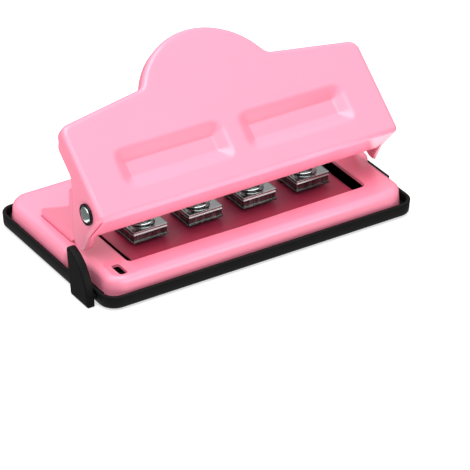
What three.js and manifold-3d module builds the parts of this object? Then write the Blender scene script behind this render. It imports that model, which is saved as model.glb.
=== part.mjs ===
// Disc binding punch: a desk punch that cuts four mushroom-shaped holes in the edge of a sheet of paper.
// Units are millimetres. X runs along the punch, -Y is the paper side, +Z is up.
// The floor is z = 0, and the middle of the punch and its paper guide is at x = 0.

import * as THREE from 'three';
import { mergeVertices } from 'three/addons/utils/BufferGeometryUtils.js';
import Module from 'manifold-3d';

const wasm = await Module();
wasm.setup();

// Clearances and the sheet that most pieces are pressed from
const sheetThickness = 1.2;
const seatGap = 0.05;
const runningGap = 0.1;
const restGap = 0.3;
const cutOverrun = 3;
const smallestRadius = 0.1;

// Punch places
const punchCount = 4;
const punchPitch = 25.4;

// Levels, counted up from the deck of the base
const deckHeight = 12;
const bedSink = 3;
const guideHeight = 6.7;
const pivotRise = 21.5;

// Widths, counted out from the row of punches
const openingSide = 9;
const bedSlit = 4;
const deckSide = 13.7;
const rearSide = 3.1;
const frontSetback = 0.2;

// Pivot of the handle, and the arm at which the press bar pushes the punches
const pivotY = -21.65;
const leverArm = 11.8;
const shankRadius = 2.5;
const rivetHeadRadius = 4.4;
const rivetHeadHeight = 1.7;
const rivetRimHeight = 0.5;
const rivetTailRadius = 3.7;
const rivetTailHeight = 1.2;
const washerRadius = 5.2;
const washerGap = 0.15;

// Handle: a pressed sheet that leans back at rest
const handleRestAngle = THREE.MathUtils.degToRad(39.9);
const bendToPivotAlong = 7.35;
const bendToPivotBelow = 8.8;
const handleEndLength = 41.3;
const shoulderSlope = 0.15;
const domeRadius = 32;
const domeCentreLength = 33.5;
const domeTangentAngle = THREE.MathUtils.degToRad(30);
const handleBendRadius = 2;
const handleFrontRadius = 2.3;
const handleRearRadius = 4.5;
const shoulderFilletRadius = 5;
const frontWallDepth = 16.4;
const flangeDepth = 9.1;
const rearLipDepth = 6;
const rearLipRun = 3.5;
const rearLipRound = 2;
const lugDrop = 18.3;
const lugReach = 12.1;
const lugCornerRadius = 3;
const lugFilletRadius = 5;
const lugFrontReturn = 3.1;
const pocketWidth = 48.5;
const pocketGap = 8;
const pocketNear = 8.8;
const pocketFar = 26.8;
const pocketDepth = 3;
const pocketCornerRadius = 5;
const pocketFloorRadius = 2.5;
const pocketSideRun = 4.8;
const pocketNearRun = 6.4;
const pocketFarRun = 6;

// Base shell: a drawn cover, narrower in front where the handle's lugs swing
const shellFrontY = -39.6;
const shellBackY = 39.6;
const shellBottom = 2.5;
const jogY = -8.9;
const jogRun = 1.4;
const jogRadius = 2.6;
const shellFrontRadius = 8;
const shellBackRadius = 9.5;
const shellEdgeRadius = 3;
const shellFlare = 0.5;
const openingFrontY = -29.5;
const openingBackY = 1.2;
const openingRadius = 2;
const dishX = -60.6;
const dishY = -31.2;
const dishWidth = 9.4;
const dishLength = 12.4;
const dishDepth = 0.6;
const dishRun = 1.6;
const dishRadius = 3.6;
const windowWidth = 3.6;
const windowLength = 7.6;
const windowRadius = 1;

// Ears that carry the pivot, each standing in a slot of the deck
const earThickness = 1.5;
const earGap = 1;
const earFootReach = 16.25;
const earFootLength = 24;
const earRearReach = 18.25;
const earShoulderRise = 1.9;
const earCrestReach = 12.25;
const earCrestRise = 3.4;
const earBossRadius = 5.6;
const earFootWidth = 9;
const gussetRise = 14;
const gussetTailRise = 3.2;
const gussetRound = 2;

// Punch bed: a pressed plate under the opening, with a slope that leads the paper down
const bedThickness = 1.5;
const bedFrontLip = 5.5;
const bedBackLip = 7;
const bedSlopeRun = 3;

// Punch guides
const guideWidth = 16.2;
const guideDepth = 16;
const guidePlateThickness = 1.5;
const guideInset = 0.5;
const guideLipHeight = 0.8;
const throatHeight = 1.6;
const paperStopOffset = 4.25;
const guideRivetRadius = 0.9;
const guideRivetHeadRadius = 1.6;
const guideRivetHeadHeight = 0.8;
const guideRivetSpread = 10.4;
const guideRivetGrip = 3;

// Punches: a mushroom-shaped cutting section under a round head
const punchCapWidth = 7.2;
const punchCapFront = 4;
const punchCapBack = 0.2;
const punchCapRadius = 3.3;
const punchStemWidth = 2.4;
const punchStemBack = 4.4;
const punchEdgeRadius = 0.3;
const punchClearance = 0.15;
const punchLift = 0.55;
const punchStroke = 4.6;
const punchHeadRadius = 5.9;
const punchHeadThickness = 1.6;
const punchHeadEdge = 0.35;

// Return springs
const springLength = 9.7;
const springRadius = 5.3;
const springWireRadius = 0.5;
const springTurns = 3.5;

// Press bar inside the handle
const pressBarSide = 16.9;
const pressBarThickness = 2;
const pressBarLeafTop = 4;
const pressBarBendRadius = 2.6;
const pressBarContactGap = 0.15;
const pressBarCurlRadius = 1;
const pressBarCurlAngle = THREE.MathUtils.degToRad(75);

// Chip tray and its feet
const trayWall = 1.6;
const trayFloor = 1.5;
const trayFrontGap = 1.5;
const trayLip = 6.1;
const trayBottom = 0.7;
const trayRadius = 7;
const trayJogY = -19.9;
const trayJogRadius = 0.8;
const trayDraft = 0.4;
const footRadius = 6;
const footInset = 15;
const footSeat = 0.7;

// Paper guide: an upright fin on a bar that slides out to the left
const finThickness = 3.6;
const finGap = 1.1;
const finHeight = 20.5;
const finBottom = 0.3;
const finFrontY = -34.4;
const finBackY = -21.5;
const finTopY = -18.7;
const finEdge = 0.5;
const finFrontShares = [[0.02, 0.5], [0.34, 0.87]];
const finTipShare = 0.88;
const finTipRound = 1.3;
const barWidth = 10;
const barThickness = 1.7;
const barMiddleY = -28;
const barLength = 123;
const railHeight = 2.4;
const railThickness = 1.2;
const railLength = 40;
const railInset = 1.5;

// Smoothness of round shapes
const cornerSteps = 5;
const domeSteps = 26;
const roundSteps = 32;
const smallSteps = 12;
const edgeSteps = 4;
const curveSteps = 12;
const wireSteps = 8;
const wireSides = 5;

const quarterTurn = Math.PI / 2;
const fullTurn = Math.PI * 2;

// Levels and places that follow from the sizes above
const deckUnder = deckHeight - sheetThickness;
const bedTop = deckHeight - bedSink;
const guideTop = bedTop + guideHeight;
const pivotHeight = deckHeight + pivotRise;
const openingWidth = (punchCount - 1) * punchPitch + guideWidth + 2 * openingSide;
const bedWidth = openingWidth - 2 * bedSlit;
const handleWidth = openingWidth + 2 * deckSide;
const pressBarLength = handleWidth - 2 * pressBarSide;
const shellRearWidth = handleWidth + 2 * rearSide;
const shellFrontWidth = handleWidth - 2 * frontSetback;
const punchAxisY = pivotY + leverArm;
const throatRoof = bedTop + throatHeight;
const punchBottom = throatRoof + punchLift;
const punchHeadUnder = guideTop + springLength;
const punchHeadTop = punchHeadUnder + punchHeadThickness;
const headBelowPivot = pivotHeight - punchHeadTop - pressBarContactGap;
const pressAngle = punchStroke / leverArm;
const guideFrontY = punchAxisY - guideDepth / 2;
const flangeInnerX = handleWidth / 2 - sheetThickness;
const earOuterX = flangeInnerX - earGap;
const earFootFrontY = pivotY + earFootReach;
const earFootBackY = earFootFrontY + earFootLength;
const earRearY = pivotY + earRearReach;
const earCrestY = pivotY + earCrestReach;
const gussetHeight = deckHeight + gussetRise;
const trayRearWidth = shellRearWidth + 2 * (shellFlare + restGap + trayWall);
const trayFrontWidth = shellFrontWidth + 2 * (shellFlare + trayFrontGap + trayWall);
const trayFrontY = shellFrontY - shellFlare - restGap - trayWall;
const trayBackY = shellBackY + shellFlare + restGap + trayWall;
const barBottom = trayBottom + trayFloor + restGap;
const barTop = barBottom + barThickness;
const barFrontY = barMiddleY - barWidth / 2;
const barBackY = barMiddleY + barWidth / 2;
const finInnerX = -trayFrontWidth / 2 - finGap;
const finOuterX = finInnerX - finThickness;
const punchPlaces = Array.from({ length: punchCount }, (_, i) => (i - (punchCount - 1) / 2) * punchPitch);

// Materials: every piece gets its own copy
const finishes = {
  paint: { color: 0xf9a9c2, roughness: 0.35, metalness: 0 },
  shadedPaint: { color: 0xd4587c, roughness: 0.4, metalness: 0 },
  chrome: { color: 0xc9ccd0, roughness: 0.12, metalness: 1 },
  steel: { color: 0xaeb1b5, roughness: 0.3, metalness: 1 },
  blackPlastic: { color: 0x262423, roughness: 0.55, metalness: 0 },
  rubber: { color: 0x1c1b1b, roughness: 0.9, metalness: 0 },
};

const parts = new THREE.Group();
const handleGroup = new THREE.Group();
handleGroup.position.set(0, pivotY, pivotHeight);
handleGroup.rotation.x = handleRestAngle;
parts.add(handleGroup);

function add(name, geometry, finish, parent = parts) {
  const mesh = new THREE.Mesh(geometry, new THREE.MeshStandardMaterial(finishes[finish]));
  mesh.name = name;
  parent.add(mesh);
}

// Boolean cuts and joins of closed geometries
function solidOf(geometry) {
  const plain = geometry.clone();
  plain.deleteAttribute('normal');
  plain.deleteAttribute('uv');
  const welded = mergeVertices(plain, 1e-4);
  return new wasm.Manifold(new wasm.Mesh({
    numProp: 3,
    vertProperties: new Float32Array(welded.attributes.position.array),
    triVerts: new Uint32Array(welded.index.array),
  }));
}

function geometryOf(solid) {
  const mesh = solid.getMesh();
  const geometry = new THREE.BufferGeometry();
  geometry.setAttribute('position', new THREE.BufferAttribute(new Float32Array(mesh.vertProperties), 3));
  geometry.setIndex(new THREE.BufferAttribute(new Uint32Array(mesh.triVerts), 1));
  return geometry;
}

function cut(body, ...tools) {
  return geometryOf(tools.reduce((solid, tool) => solid.subtract(solidOf(tool)), solidOf(body)));
}

function join(body, ...others) {
  return geometryOf(others.reduce((solid, other) => solid.add(solidOf(other)), solidOf(body)));
}

function common(body, other) {
  return geometryOf(solidOf(body).intersect(solidOf(other)));
}

// A flat outline from corners, each [across, along, radius, steps], listed anticlockwise.
// An inset moves every edge inwards: outer radii shrink and inner radii grow.
function outline(corners, inset = 0) {
  const count = corners.length;
  return corners.flatMap(([across, along, radius, steps = cornerSteps], i) => {
    const here = new THREE.Vector2(across, along);
    const before = new THREE.Vector2(...corners[(i + count - 1) % count]);
    const after = new THREE.Vector2(...corners[(i + 1) % count]);
    const inward = here.clone().sub(before).normalize();
    const onward = after.sub(here).normalize();
    const turn = Math.atan2(inward.cross(onward), inward.dot(onward));
    const side = Math.sign(turn) || 1;
    const bisector = new THREE.Vector2(-inward.y - onward.y, inward.x + onward.x).normalize();
    const corner = here.clone().addScaledVector(bisector, inset / Math.cos(turn / 2));
    if (radius === 0) return [corner];
    const drawn = Math.max(radius - side * inset, smallestRadius);
    const centre = corner.addScaledVector(bisector, side * drawn / Math.cos(turn / 2));
    const start = Math.atan2(-inward.x * side, inward.y * side);
    return Array.from({ length: steps + 1 }, (_, k) => {
      const angle = start + turn * k / steps;
      return new THREE.Vector2(centre.x + drawn * Math.cos(angle), centre.y + drawn * Math.sin(angle));
    });
  });
}

function rectangle(width, front, back, radius) {
  return [
    [-width / 2, front, radius], [width / 2, front, radius],
    [width / 2, back, radius], [-width / 2, back, radius],
  ];
}

// A closed solid through level rings of as many points each, from the lowest ring up
function loft(rings) {
  const size = rings[0].points.length;
  const positions = rings.flatMap(({ points, height }) => points.flatMap((p) => [p.x, p.y, height]));
  const faces = [];
  for (let r = 0; r + 1 < rings.length; r += 1) {
    for (let i = 0; i < size; i += 1) {
      const a = r * size + i;
      const b = r * size + (i + 1) % size;
      faces.push(a, b, b + size, a, b + size, a + size);
    }
  }
  const last = (rings.length - 1) * size;
  THREE.ShapeUtils.triangulateShape(rings[0].points, []).forEach(([a, b, c]) => faces.push(a, c, b));
  THREE.ShapeUtils.triangulateShape(rings.at(-1).points, []).forEach(([a, b, c]) => {
    faces.push(last + a, last + b, last + c);
  });
  const geometry = new THREE.BufferGeometry();
  geometry.setAttribute('position', new THREE.Float32BufferAttribute(positions, 3));
  geometry.setIndex(faces);
  return geometry;
}

// A block with upright walls and a rounded top edge, flared at its foot
function coverBlock(corners, bottom, top, edge, inset, flare) {
  const rings = [{ points: outline(corners, inset - flare), height: bottom }];
  for (let k = 0; k <= edgeSteps; k += 1) {
    const angle = quarterTurn * k / edgeSteps;
    rings.push({
      points: outline(corners, inset + edge * (1 - Math.cos(angle))),
      height: top - edge + edge * Math.sin(angle),
    });
  }
  return loft(rings);
}

function prismAlongZ(points, bottom, top) {
  return new THREE.ExtrudeGeometry(new THREE.Shape(points), { depth: top - bottom, bevelEnabled: false })
    .translate(0, 0, bottom);
}

// A section drawn in Y and Z, carried along X
function prismAlongX(points, left, right) {
  const turn = new THREE.Matrix4().makeBasis(
    new THREE.Vector3(0, 1, 0), new THREE.Vector3(0, 0, 1), new THREE.Vector3(1, 0, 0),
  );
  return new THREE.ExtrudeGeometry(new THREE.Shape(points), { depth: right - left, bevelEnabled: false })
    .applyMatrix4(turn).translate(left, 0, 0);
}

function block(x, y, z) {
  return new THREE.BoxGeometry(x[1] - x[0], y[1] - y[0], z[1] - z[0])
    .translate((x[0] + x[1]) / 2, (y[0] + y[1]) / 2, (z[0] + z[1]) / 2);
}

function rodAlongX(radius, left, right, y, z) {
  return new THREE.CylinderGeometry(radius, radius, right - left, roundSteps)
    .rotateZ(quarterTurn).translate((left + right) / 2, y, z);
}

function rodAlongZ(radius, bottom, top, x, y) {
  return new THREE.CylinderGeometry(radius, radius, top - bottom, roundSteps)
    .rotateX(quarterTurn).translate(x, y, (bottom + top) / 2);
}

function turnedAlongZ(profile, steps = roundSteps) {
  const points = profile.map(([radius, height]) => new THREE.Vector2(radius, height));
  return new THREE.LatheGeometry(points, steps).rotateX(quarterTurn);
}

// A bent strip: a path, and the same path moved to its left by the thickness
function strip(path, thickness) {
  const far = path.map((point, i) => {
    const first = point.clone().sub(path[Math.max(i - 1, 0)]).normalize();
    const second = path[Math.min(i + 1, path.length - 1)].clone().sub(point).normalize();
    const along = first.clone().add(second).normalize();
    const stretch = 1 / along.dot(i ? first : second);
    return new THREE.Vector2(-along.y, along.x).multiplyScalar(thickness * stretch).add(point);
  });
  return [...path, ...far.reverse()];
}

// Base shell: an outer form less an inner form, with a shallow dish pressed into both
function dishTool(growth) {
  const floor = rectangle(
    dishWidth - 2 * dishRun, dishY - dishLength / 2 + dishRun, dishY + dishLength / 2 - dishRun,
    dishRadius - dishRun,
  );
  const rim = rectangle(dishWidth, dishY - dishLength / 2, dishY + dishLength / 2, dishRadius);
  return loft([
    { points: outline(floor, -growth), height: deckHeight - dishDepth - growth },
    { points: outline(rim, -growth), height: deckHeight - growth },
    { points: outline(rim, -growth), height: deckHeight + cutOverrun },
  ]).translate(dishX, 0, 0);
}

function earSlot(side) {
  const middle = side * (earOuterX - earThickness / 2);
  const half = earThickness / 2 + restGap;
  return block(
    [middle - half, middle + half],
    [earFootFrontY - restGap, earFootBackY + restGap],
    [deckUnder - cutOverrun, deckHeight + cutOverrun],
  );
}

function baseShell() {
  const rear = shellRearWidth / 2;
  const front = shellFrontWidth / 2;
  const corners = [
    [-front, shellFrontY, shellFrontRadius], [front, shellFrontY, shellFrontRadius],
    [front, jogY - jogRun / 2, jogRadius], [rear, jogY + jogRun / 2, jogRadius],
    [rear, shellBackY, shellBackRadius], [-rear, shellBackY, shellBackRadius],
    [-rear, jogY + jogRun / 2, jogRadius], [-front, jogY - jogRun / 2, jogRadius],
  ];
  const outer = coverBlock(corners, shellBottom, deckHeight, shellEdgeRadius, 0, shellFlare);
  const inner = coverBlock(
    corners, shellBottom - cutOverrun, deckUnder, shellEdgeRadius - sheetThickness, sheetThickness, shellFlare,
  );
  const opening = prismAlongZ(
    outline(rectangle(openingWidth, openingFrontY, openingBackY, openingRadius)),
    deckUnder - cutOverrun, deckHeight + cutOverrun,
  );
  const sightWindow = prismAlongZ(
    outline(rectangle(windowWidth, dishY - windowLength / 2, dishY + windowLength / 2, windowRadius)),
    deckUnder - cutOverrun, deckHeight + cutOverrun,
  ).translate(dishX, 0, 0);
  const barNotch = block(
    [-shellRearWidth, -front + sheetThickness + shellEdgeRadius],
    [barFrontY - restGap, barBackY + restGap],
    [shellBottom - cutOverrun, barTop + restGap],
  );
  return cut(
    cut(outer, dishTool(0)), cut(inner, dishTool(sheetThickness)),
    opening, sightWindow, earSlot(-1), earSlot(1), barNotch,
  );
}

// Ears: a leaning plate with a round boss at the pivot, a low gusset behind, and a foot under the deck
function bossPoints(fromStart, toEnd) {
  const tangentAngle = ([y, z], side) => {
    const reach = Math.hypot(pivotY - y, pivotHeight - z);
    const heading = Math.atan2(z - pivotHeight, y - pivotY);
    return heading + side * Math.acos(earBossRadius / reach);
  };
  const start = tangentAngle(fromStart, 1);
  const end = tangentAngle(toEnd, -1);
  const sweep = (end - start + fullTurn) % fullTurn;
  return Array.from({ length: roundSteps / 2 + 1 }, (_, k) => {
    const angle = start + sweep * 2 * k / roundSteps;
    return new THREE.Vector2(
      pivotY + earBossRadius * Math.cos(angle),
      pivotHeight + earBossRadius * Math.sin(angle),
    );
  });
}

function ear(side) {
  const footTop = deckUnder - seatGap;
  const footBottom = footTop - earThickness;
  const lower = outline([
    [earFootFrontY, footBottom, 0],
    [earFootBackY, footBottom, 0],
    [earFootBackY, deckHeight + gussetTailRise, gussetRound],
    [earRearY + gussetRound, gussetHeight, gussetRound],
    [earRearY, gussetHeight + gussetRound, gussetRound / 2],
    [earRearY, pivotHeight + earShoulderRise, gussetRound],
    [earCrestY, pivotHeight + earCrestRise, gussetRound],
    [pivotY, pivotHeight + earBossRadius, 0],
    [pivotY - earBossRadius, pivotHeight, 0],
    [earFootFrontY, deckHeight, 0],
  ]);
  const footFront = lower.pop();
  lower.splice(-2);
  const boss = bossPoints([earCrestY, pivotHeight + earCrestRise], [earFootFrontY, deckHeight]);
  const faces = [side * earOuterX, side * (earOuterX - earThickness)].sort((a, b) => a - b);
  const plate = prismAlongX([...lower, ...boss, footFront], ...faces);
  const footSpan = [side * earOuterX, side * (earOuterX - earFootWidth)].sort((a, b) => a - b);
  const foot = block(footSpan, [earFootFrontY, earFootBackY], [footBottom, footTop]);
  const hole = rodAlongX(
    shankRadius + runningGap, faces[0] - cutOverrun, faces[1] + cutOverrun, pivotY, pivotHeight,
  );
  return cut(join(plate, foot), hole);
}

// Pivot rivets: a domed head outside, the shank, and a flat tail inside the ear
function pivotRivet(side) {
  const tail = earOuterX - earThickness - seatGap;
  const head = handleWidth / 2 + runningGap;
  const domeStart = head + rivetRimHeight;
  const domeRise = rivetHeadHeight - rivetRimHeight;
  const dome = Array.from({ length: edgeSteps + 1 }, (_, k) => {
    const angle = quarterTurn * k / edgeSteps;
    const radius = k === edgeSteps ? 0 : rivetHeadRadius * Math.cos(angle);
    return [radius, domeStart + domeRise * Math.sin(angle)];
  });
  return turnedAlongZ([
    [0, tail - rivetTailHeight],
    [rivetTailRadius, tail - rivetTailHeight],
    [rivetTailRadius, tail],
    [shankRadius, tail],
    [shankRadius, head],
    [rivetHeadRadius, head],
    ...dome,
  ]).rotateY(side * quarterTurn).translate(0, pivotY, pivotHeight);
}

function pivotWasher(side) {
  const ends = [side * (earOuterX + washerGap), side * (flangeInnerX - washerGap)].sort((a, b) => a - b);
  return cut(
    rodAlongX(washerRadius, ...ends, pivotY, pivotHeight),
    rodAlongX(shankRadius + runningGap, ends[0] - cutOverrun, ends[1] + cutOverrun, pivotY, pivotHeight),
  );
}

// Punches and the holes that they run in
function mushroom(x, growth) {
  const cap = punchCapWidth / 2;
  const stem = punchStemWidth / 2;
  return outline([
    [x - stem, punchAxisY + punchStemBack, punchEdgeRadius],
    [x - stem, punchAxisY + punchCapBack, punchEdgeRadius],
    [x - cap, punchAxisY + punchCapBack, punchEdgeRadius],
    [x - cap, punchAxisY - punchCapFront, punchCapRadius],
    [x + cap, punchAxisY - punchCapFront, punchCapRadius],
    [x + cap, punchAxisY + punchCapBack, punchEdgeRadius],
    [x + stem, punchAxisY + punchCapBack, punchEdgeRadius],
    [x + stem, punchAxisY + punchStemBack, punchEdgeRadius],
  ], -growth);
}

function punch(x) {
  const edge = punchHeadRadius - punchHeadEdge;
  const head = turnedAlongZ([
    [0, punchHeadUnder], [edge, punchHeadUnder],
    [punchHeadRadius, punchHeadUnder + punchHeadEdge], [punchHeadRadius, punchHeadTop - punchHeadEdge],
    [edge, punchHeadTop], [0, punchHeadTop],
  ]).translate(x, punchAxisY, 0);
  const shaft = prismAlongZ(mushroom(x, 0), punchBottom, punchHeadUnder + punchHeadThickness / 2);
  return join(head, shaft);
}

// Punch bed, with its four dies and the holes for the guide rivets
const guideRivetY = (punchAxisY + paperStopOffset + guideFrontY + guideDepth - guideInset) / 2;
const guideRivetPlaces = punchPlaces.flatMap((x) => [x - guideRivetSpread / 2, x + guideRivetSpread / 2]);

function punchBed() {
  const lipTop = deckUnder - seatGap;
  const frontCrest = openingFrontY - seatGap;
  const backStep = openingBackY + sheetThickness;
  const path = [
    [backStep + bedSlopeRun + bedBackLip, lipTop],
    [backStep + bedSlopeRun, lipTop],
    [backStep, bedTop],
    [frontCrest + bedSlopeRun, bedTop],
    [frontCrest, lipTop],
    [frontCrest - bedFrontLip, lipTop],
  ].map(([y, z]) => new THREE.Vector2(y, z));
  const plate = prismAlongX(strip(path, bedThickness), -bedWidth / 2, bedWidth / 2);
  const span = [bedTop - bedThickness - cutOverrun, bedTop + cutOverrun];
  const dies = punchPlaces.map((x) => prismAlongZ(mushroom(x, punchClearance), ...span));
  const holes = guideRivetPlaces.map((x) => rodAlongZ(guideRivetRadius + runningGap, ...span, x, guideRivetY));
  return cut(plate, ...dies, ...holes);
}

// Punch guide: a top plate on a body with a paper throat in front and a leg on the bed behind
function punchGuide(x) {
  const half = guideWidth / 2;
  const bodyHalf = half - guideInset;
  const backY = guideFrontY + guideDepth;
  const bottom = bedTop + seatGap;
  const plate = block([x - half, x + half], [guideFrontY, backY], [guideTop - guidePlateThickness, guideTop]);
  const body = block(
    [x - bodyHalf, x + bodyHalf], [guideFrontY + guideInset, backY - guideInset],
    [bottom, guideTop - guidePlateThickness / 2],
  );
  const lip = block([x - half, x + half], [guideFrontY, backY], [throatRoof, throatRoof + guideLipHeight]);
  const throat = block(
    [x - half - cutOverrun, x + half + cutOverrun],
    [guideFrontY - cutOverrun, punchAxisY + paperStopOffset],
    [bottom - cutOverrun, throatRoof],
  );
  const bore = prismAlongZ(mushroom(x, punchClearance), bottom - cutOverrun, guideTop + cutOverrun);
  const rivetHoles = [-1, 1].map((side) => rodAlongZ(
    guideRivetRadius + runningGap, bottom - cutOverrun, bedTop + guideRivetGrip + restGap,
    x + side * guideRivetSpread / 2, guideRivetY,
  ));
  return cut(join(plate, body, lip), throat, bore, ...rivetHoles);
}

// Guide rivet: its head lies under the bed and its shank runs up into the leg of the guide
function guideRivet(x) {
  const headTop = bedTop - bedThickness - seatGap;
  return turnedAlongZ([
    [0, headTop - guideRivetHeadHeight],
    [guideRivetHeadRadius, headTop - guideRivetHeadHeight],
    [guideRivetHeadRadius, headTop],
    [guideRivetRadius, headTop],
    [guideRivetRadius, bedTop + guideRivetGrip],
    [0, bedTop + guideRivetGrip],
  ], smallSteps).translate(x, guideRivetY, 0);
}

// Return spring: one unbroken wire tube that winds up round the punch
function springPath() {
  const count = springTurns * wireSteps;
  const bottom = guideTop + seatGap + springWireRadius;
  const rise = springLength - 2 * (seatGap + springWireRadius);
  return Array.from({ length: count + 1 }, (_, k) => {
    const angle = fullTurn * k / wireSteps;
    return new THREE.Vector3(
      springRadius * Math.cos(angle), springRadius * Math.sin(angle), bottom + rise * k / count,
    );
  });
}

function springGap(path) {
  let least = Infinity;
  path.forEach((a, i) => path.slice(i + wireSteps / 2).forEach((b) => {
    least = Math.min(least, a.distanceTo(b) - 2 * springWireRadius);
  }));
  return least;
}

function returnSpring(x) {
  const path = springPath();
  const positions = path.flatMap((point, k) => {
    const angle = fullTurn * k / wireSteps;
    return Array.from({ length: wireSides }, (_, s) => {
      const around = fullTurn * s / wireSides;
      const out = springWireRadius * Math.cos(around);
      return [
        point.x + out * Math.cos(angle), point.y + out * Math.sin(angle),
        point.z + springWireRadius * Math.sin(around),
      ];
    }).flat();
  });
  const faces = [];
  for (let k = 0; k + 1 < path.length; k += 1) {
    for (let s = 0; s < wireSides; s += 1) {
      const a = k * wireSides + s;
      const b = k * wireSides + (s + 1) % wireSides;
      faces.push(a, a + wireSides, b, b, a + wireSides, b + wireSides);
    }
  }
  const last = (path.length - 1) * wireSides;
  for (let s = 1; s + 1 < wireSides; s += 1) {
    faces.push(0, s, s + 1, last, last + s + 1, last + s);
  }
  const geometry = new THREE.BufferGeometry();
  geometry.setAttribute('position', new THREE.Float32BufferAttribute(positions, 3));
  geometry.setIndex(faces);
  return geometry.translate(x, punchAxisY, 0);
}

// Handle, drawn flat with the pivot at its origin: Y runs up the panel and Z stands out of it
const panelTop = bendToPivotBelow;
const frontFace = -bendToPivotAlong;

function handleCorners() {
  const half = handleWidth / 2;
  const apex = domeCentreLength + domeRadius / Math.sin(domeTangentAngle);
  const tangentSlope = 1 / Math.tan(domeTangentAngle);
  const shoulderX = (apex - handleEndLength - shoulderSlope * half) / (tangentSlope - shoulderSlope);
  const shoulderLength = apex - shoulderX * tangentSlope;
  return [
    [-half, frontFace, handleFrontRadius],
    [half, frontFace, handleFrontRadius],
    [half, handleEndLength + frontFace, handleRearRadius],
    [shoulderX, shoulderLength + frontFace, shoulderFilletRadius],
    [0, apex + frontFace, domeRadius, domeSteps],
    [-shoulderX, shoulderLength + frontFace, shoulderFilletRadius],
    [-half, handleEndLength + frontFace, handleRearRadius],
  ];
}

// The side view of the handle: the lugs reach down to a level line and their rear edge is upright at rest
function handleSideOutline() {
  const cos = Math.cos(handleRestAngle);
  const sin = Math.sin(handleRestAngle);
  const toHandle = (y, z) => [y * cos + z * sin, z * cos - y * sin];
  const flangeEdge = panelTop - flangeDepth;
  const lugFront = toHandle((frontFace + lugDrop * sin) / cos, -lugDrop);
  const lugRear = toHandle(lugReach, -lugDrop);
  const lugTop = toHandle(lugReach, (flangeEdge + lugReach * sin) / cos);
  const lipStart = frontFace + handleEndLength - rearLipRun;
  const farEnd = frontFace + domeCentreLength + domeRadius + cutOverrun;
  const step = lugFront[1] + 2 * lugCornerRadius;
  return outline([
    [frontFace - cutOverrun, step, 0],
    [frontFace, step, 0],
    [...lugFront, lugCornerRadius],
    [...lugRear, lugCornerRadius],
    [...lugTop, lugFilletRadius],
    [lipStart - rearLipRound, flangeEdge, rearLipRound],
    [lipStart, panelTop - rearLipDepth, rearLipRound / 2],
    [farEnd, panelTop - rearLipDepth, 0],
    [farEnd, panelTop + cutOverrun, 0],
    [frontFace - cutOverrun, panelTop + cutOverrun, 0],
  ]);
}

function pocketTool(side, growth) {
  const near = frontFace + pocketNear;
  const far = frontFace + pocketFar;
  const rim = rectangle(pocketWidth, near, far, pocketCornerRadius);
  const floor = rectangle(
    pocketWidth - 2 * pocketSideRun, near + pocketNearRun, far - pocketFarRun, pocketFloorRadius,
  );
  return loft([
    { points: outline(floor, -growth), height: panelTop - pocketDepth - growth },
    { points: outline(rim, -growth), height: panelTop - growth },
    { points: outline(rim, -growth), height: panelTop + cutOverrun },
  ]).translate(side * (pocketWidth + pocketGap) / 2, 0, 0);
}

function handle() {
  const corners = handleCorners();
  const bottom = panelTop - bendToPivotBelow - lugDrop - lugReach;
  const outer = coverBlock(corners, bottom, panelTop, handleBendRadius, 0, 0);
  const inner = coverBlock(
    corners, bottom - cutOverrun, panelTop - sheetThickness,
    handleBendRadius - sheetThickness, sheetThickness, 0,
  );
  const shell = cut(
    cut(outer, pocketTool(-1, 0), pocketTool(1, 0)),
    cut(inner, pocketTool(-1, sheetThickness), pocketTool(1, sheetThickness)),
  );
  const trimmed = common(
    shell, prismAlongX(handleSideOutline(), -handleWidth / 2 - cutOverrun, handleWidth / 2 + cutOverrun),
  );
  const lugReturnX = handleWidth / 2 - lugFrontReturn;
  const underFrontWall = block(
    [-lugReturnX, lugReturnX],
    [frontFace - cutOverrun, frontFace + handleFrontRadius + cutOverrun],
    [bottom - cutOverrun, panelTop - frontWallDepth],
  );
  const pivotHole = rodAlongX(
    shankRadius + runningGap, -handleWidth / 2 - cutOverrun, handleWidth / 2 + cutOverrun, 0, 0,
  );
  return cut(trimmed, underFrontWall, pivotHole);
}

// Press bar: its underside past the contact line is an involute, so the punches sink in step with the handle
function pressBar() {
  const cos = Math.cos(handleRestAngle);
  const sin = Math.sin(handleRestAngle);
  const face = frontFace + sheetThickness + restGap;
  const leafTop = panelTop - pressBarLeafTop;
  const leaf = [face * cos - leafTop * sin, face * sin + leafTop * cos];
  const level = -headBelowPivot;
  const bendY = (face - level * sin) / cos;
  const bend = outline([
    [...leaf, 0],
    [bendY, level, pressBarBendRadius],
    [leverArm, level, 0],
  ]).slice(0, -1);
  const cam = Array.from({ length: curveSteps + 1 }, (_, k) => {
    const angle = pressAngle * k / curveSteps;
    const reach = headBelowPivot + leverArm * angle;
    return new THREE.Vector2(
      leverArm * Math.cos(angle) + reach * Math.sin(angle),
      leverArm * Math.sin(angle) - reach * Math.cos(angle),
    );
  });
  const end = cam.at(-1);
  const outerCurl = pressBarCurlRadius + pressBarThickness;
  const curl = Array.from({ length: edgeSteps }, (_, k) => {
    const angle = pressAngle + pressBarCurlAngle * (k + 1) / edgeSteps;
    return new THREE.Vector2(
      end.x + outerCurl * (Math.sin(angle) - Math.sin(pressAngle)),
      end.y + outerCurl * (Math.cos(pressAngle) - Math.cos(angle)),
    );
  });
  return prismAlongX(
    strip([...bend, ...cam, ...curl], pressBarThickness), -pressBarLength / 2, pressBarLength / 2,
  ).rotateX(-handleRestAngle);
}

// Chip tray: a shallow black dish round the foot of the shell, with rails for the guide bar
function footPlaces() {
  return [-1, 1].flatMap((side) => [trayFrontY + footInset, trayBackY - footInset].map(
    (y) => [side * (trayFrontWidth / 2 - footInset), y],
  ));
}

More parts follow.
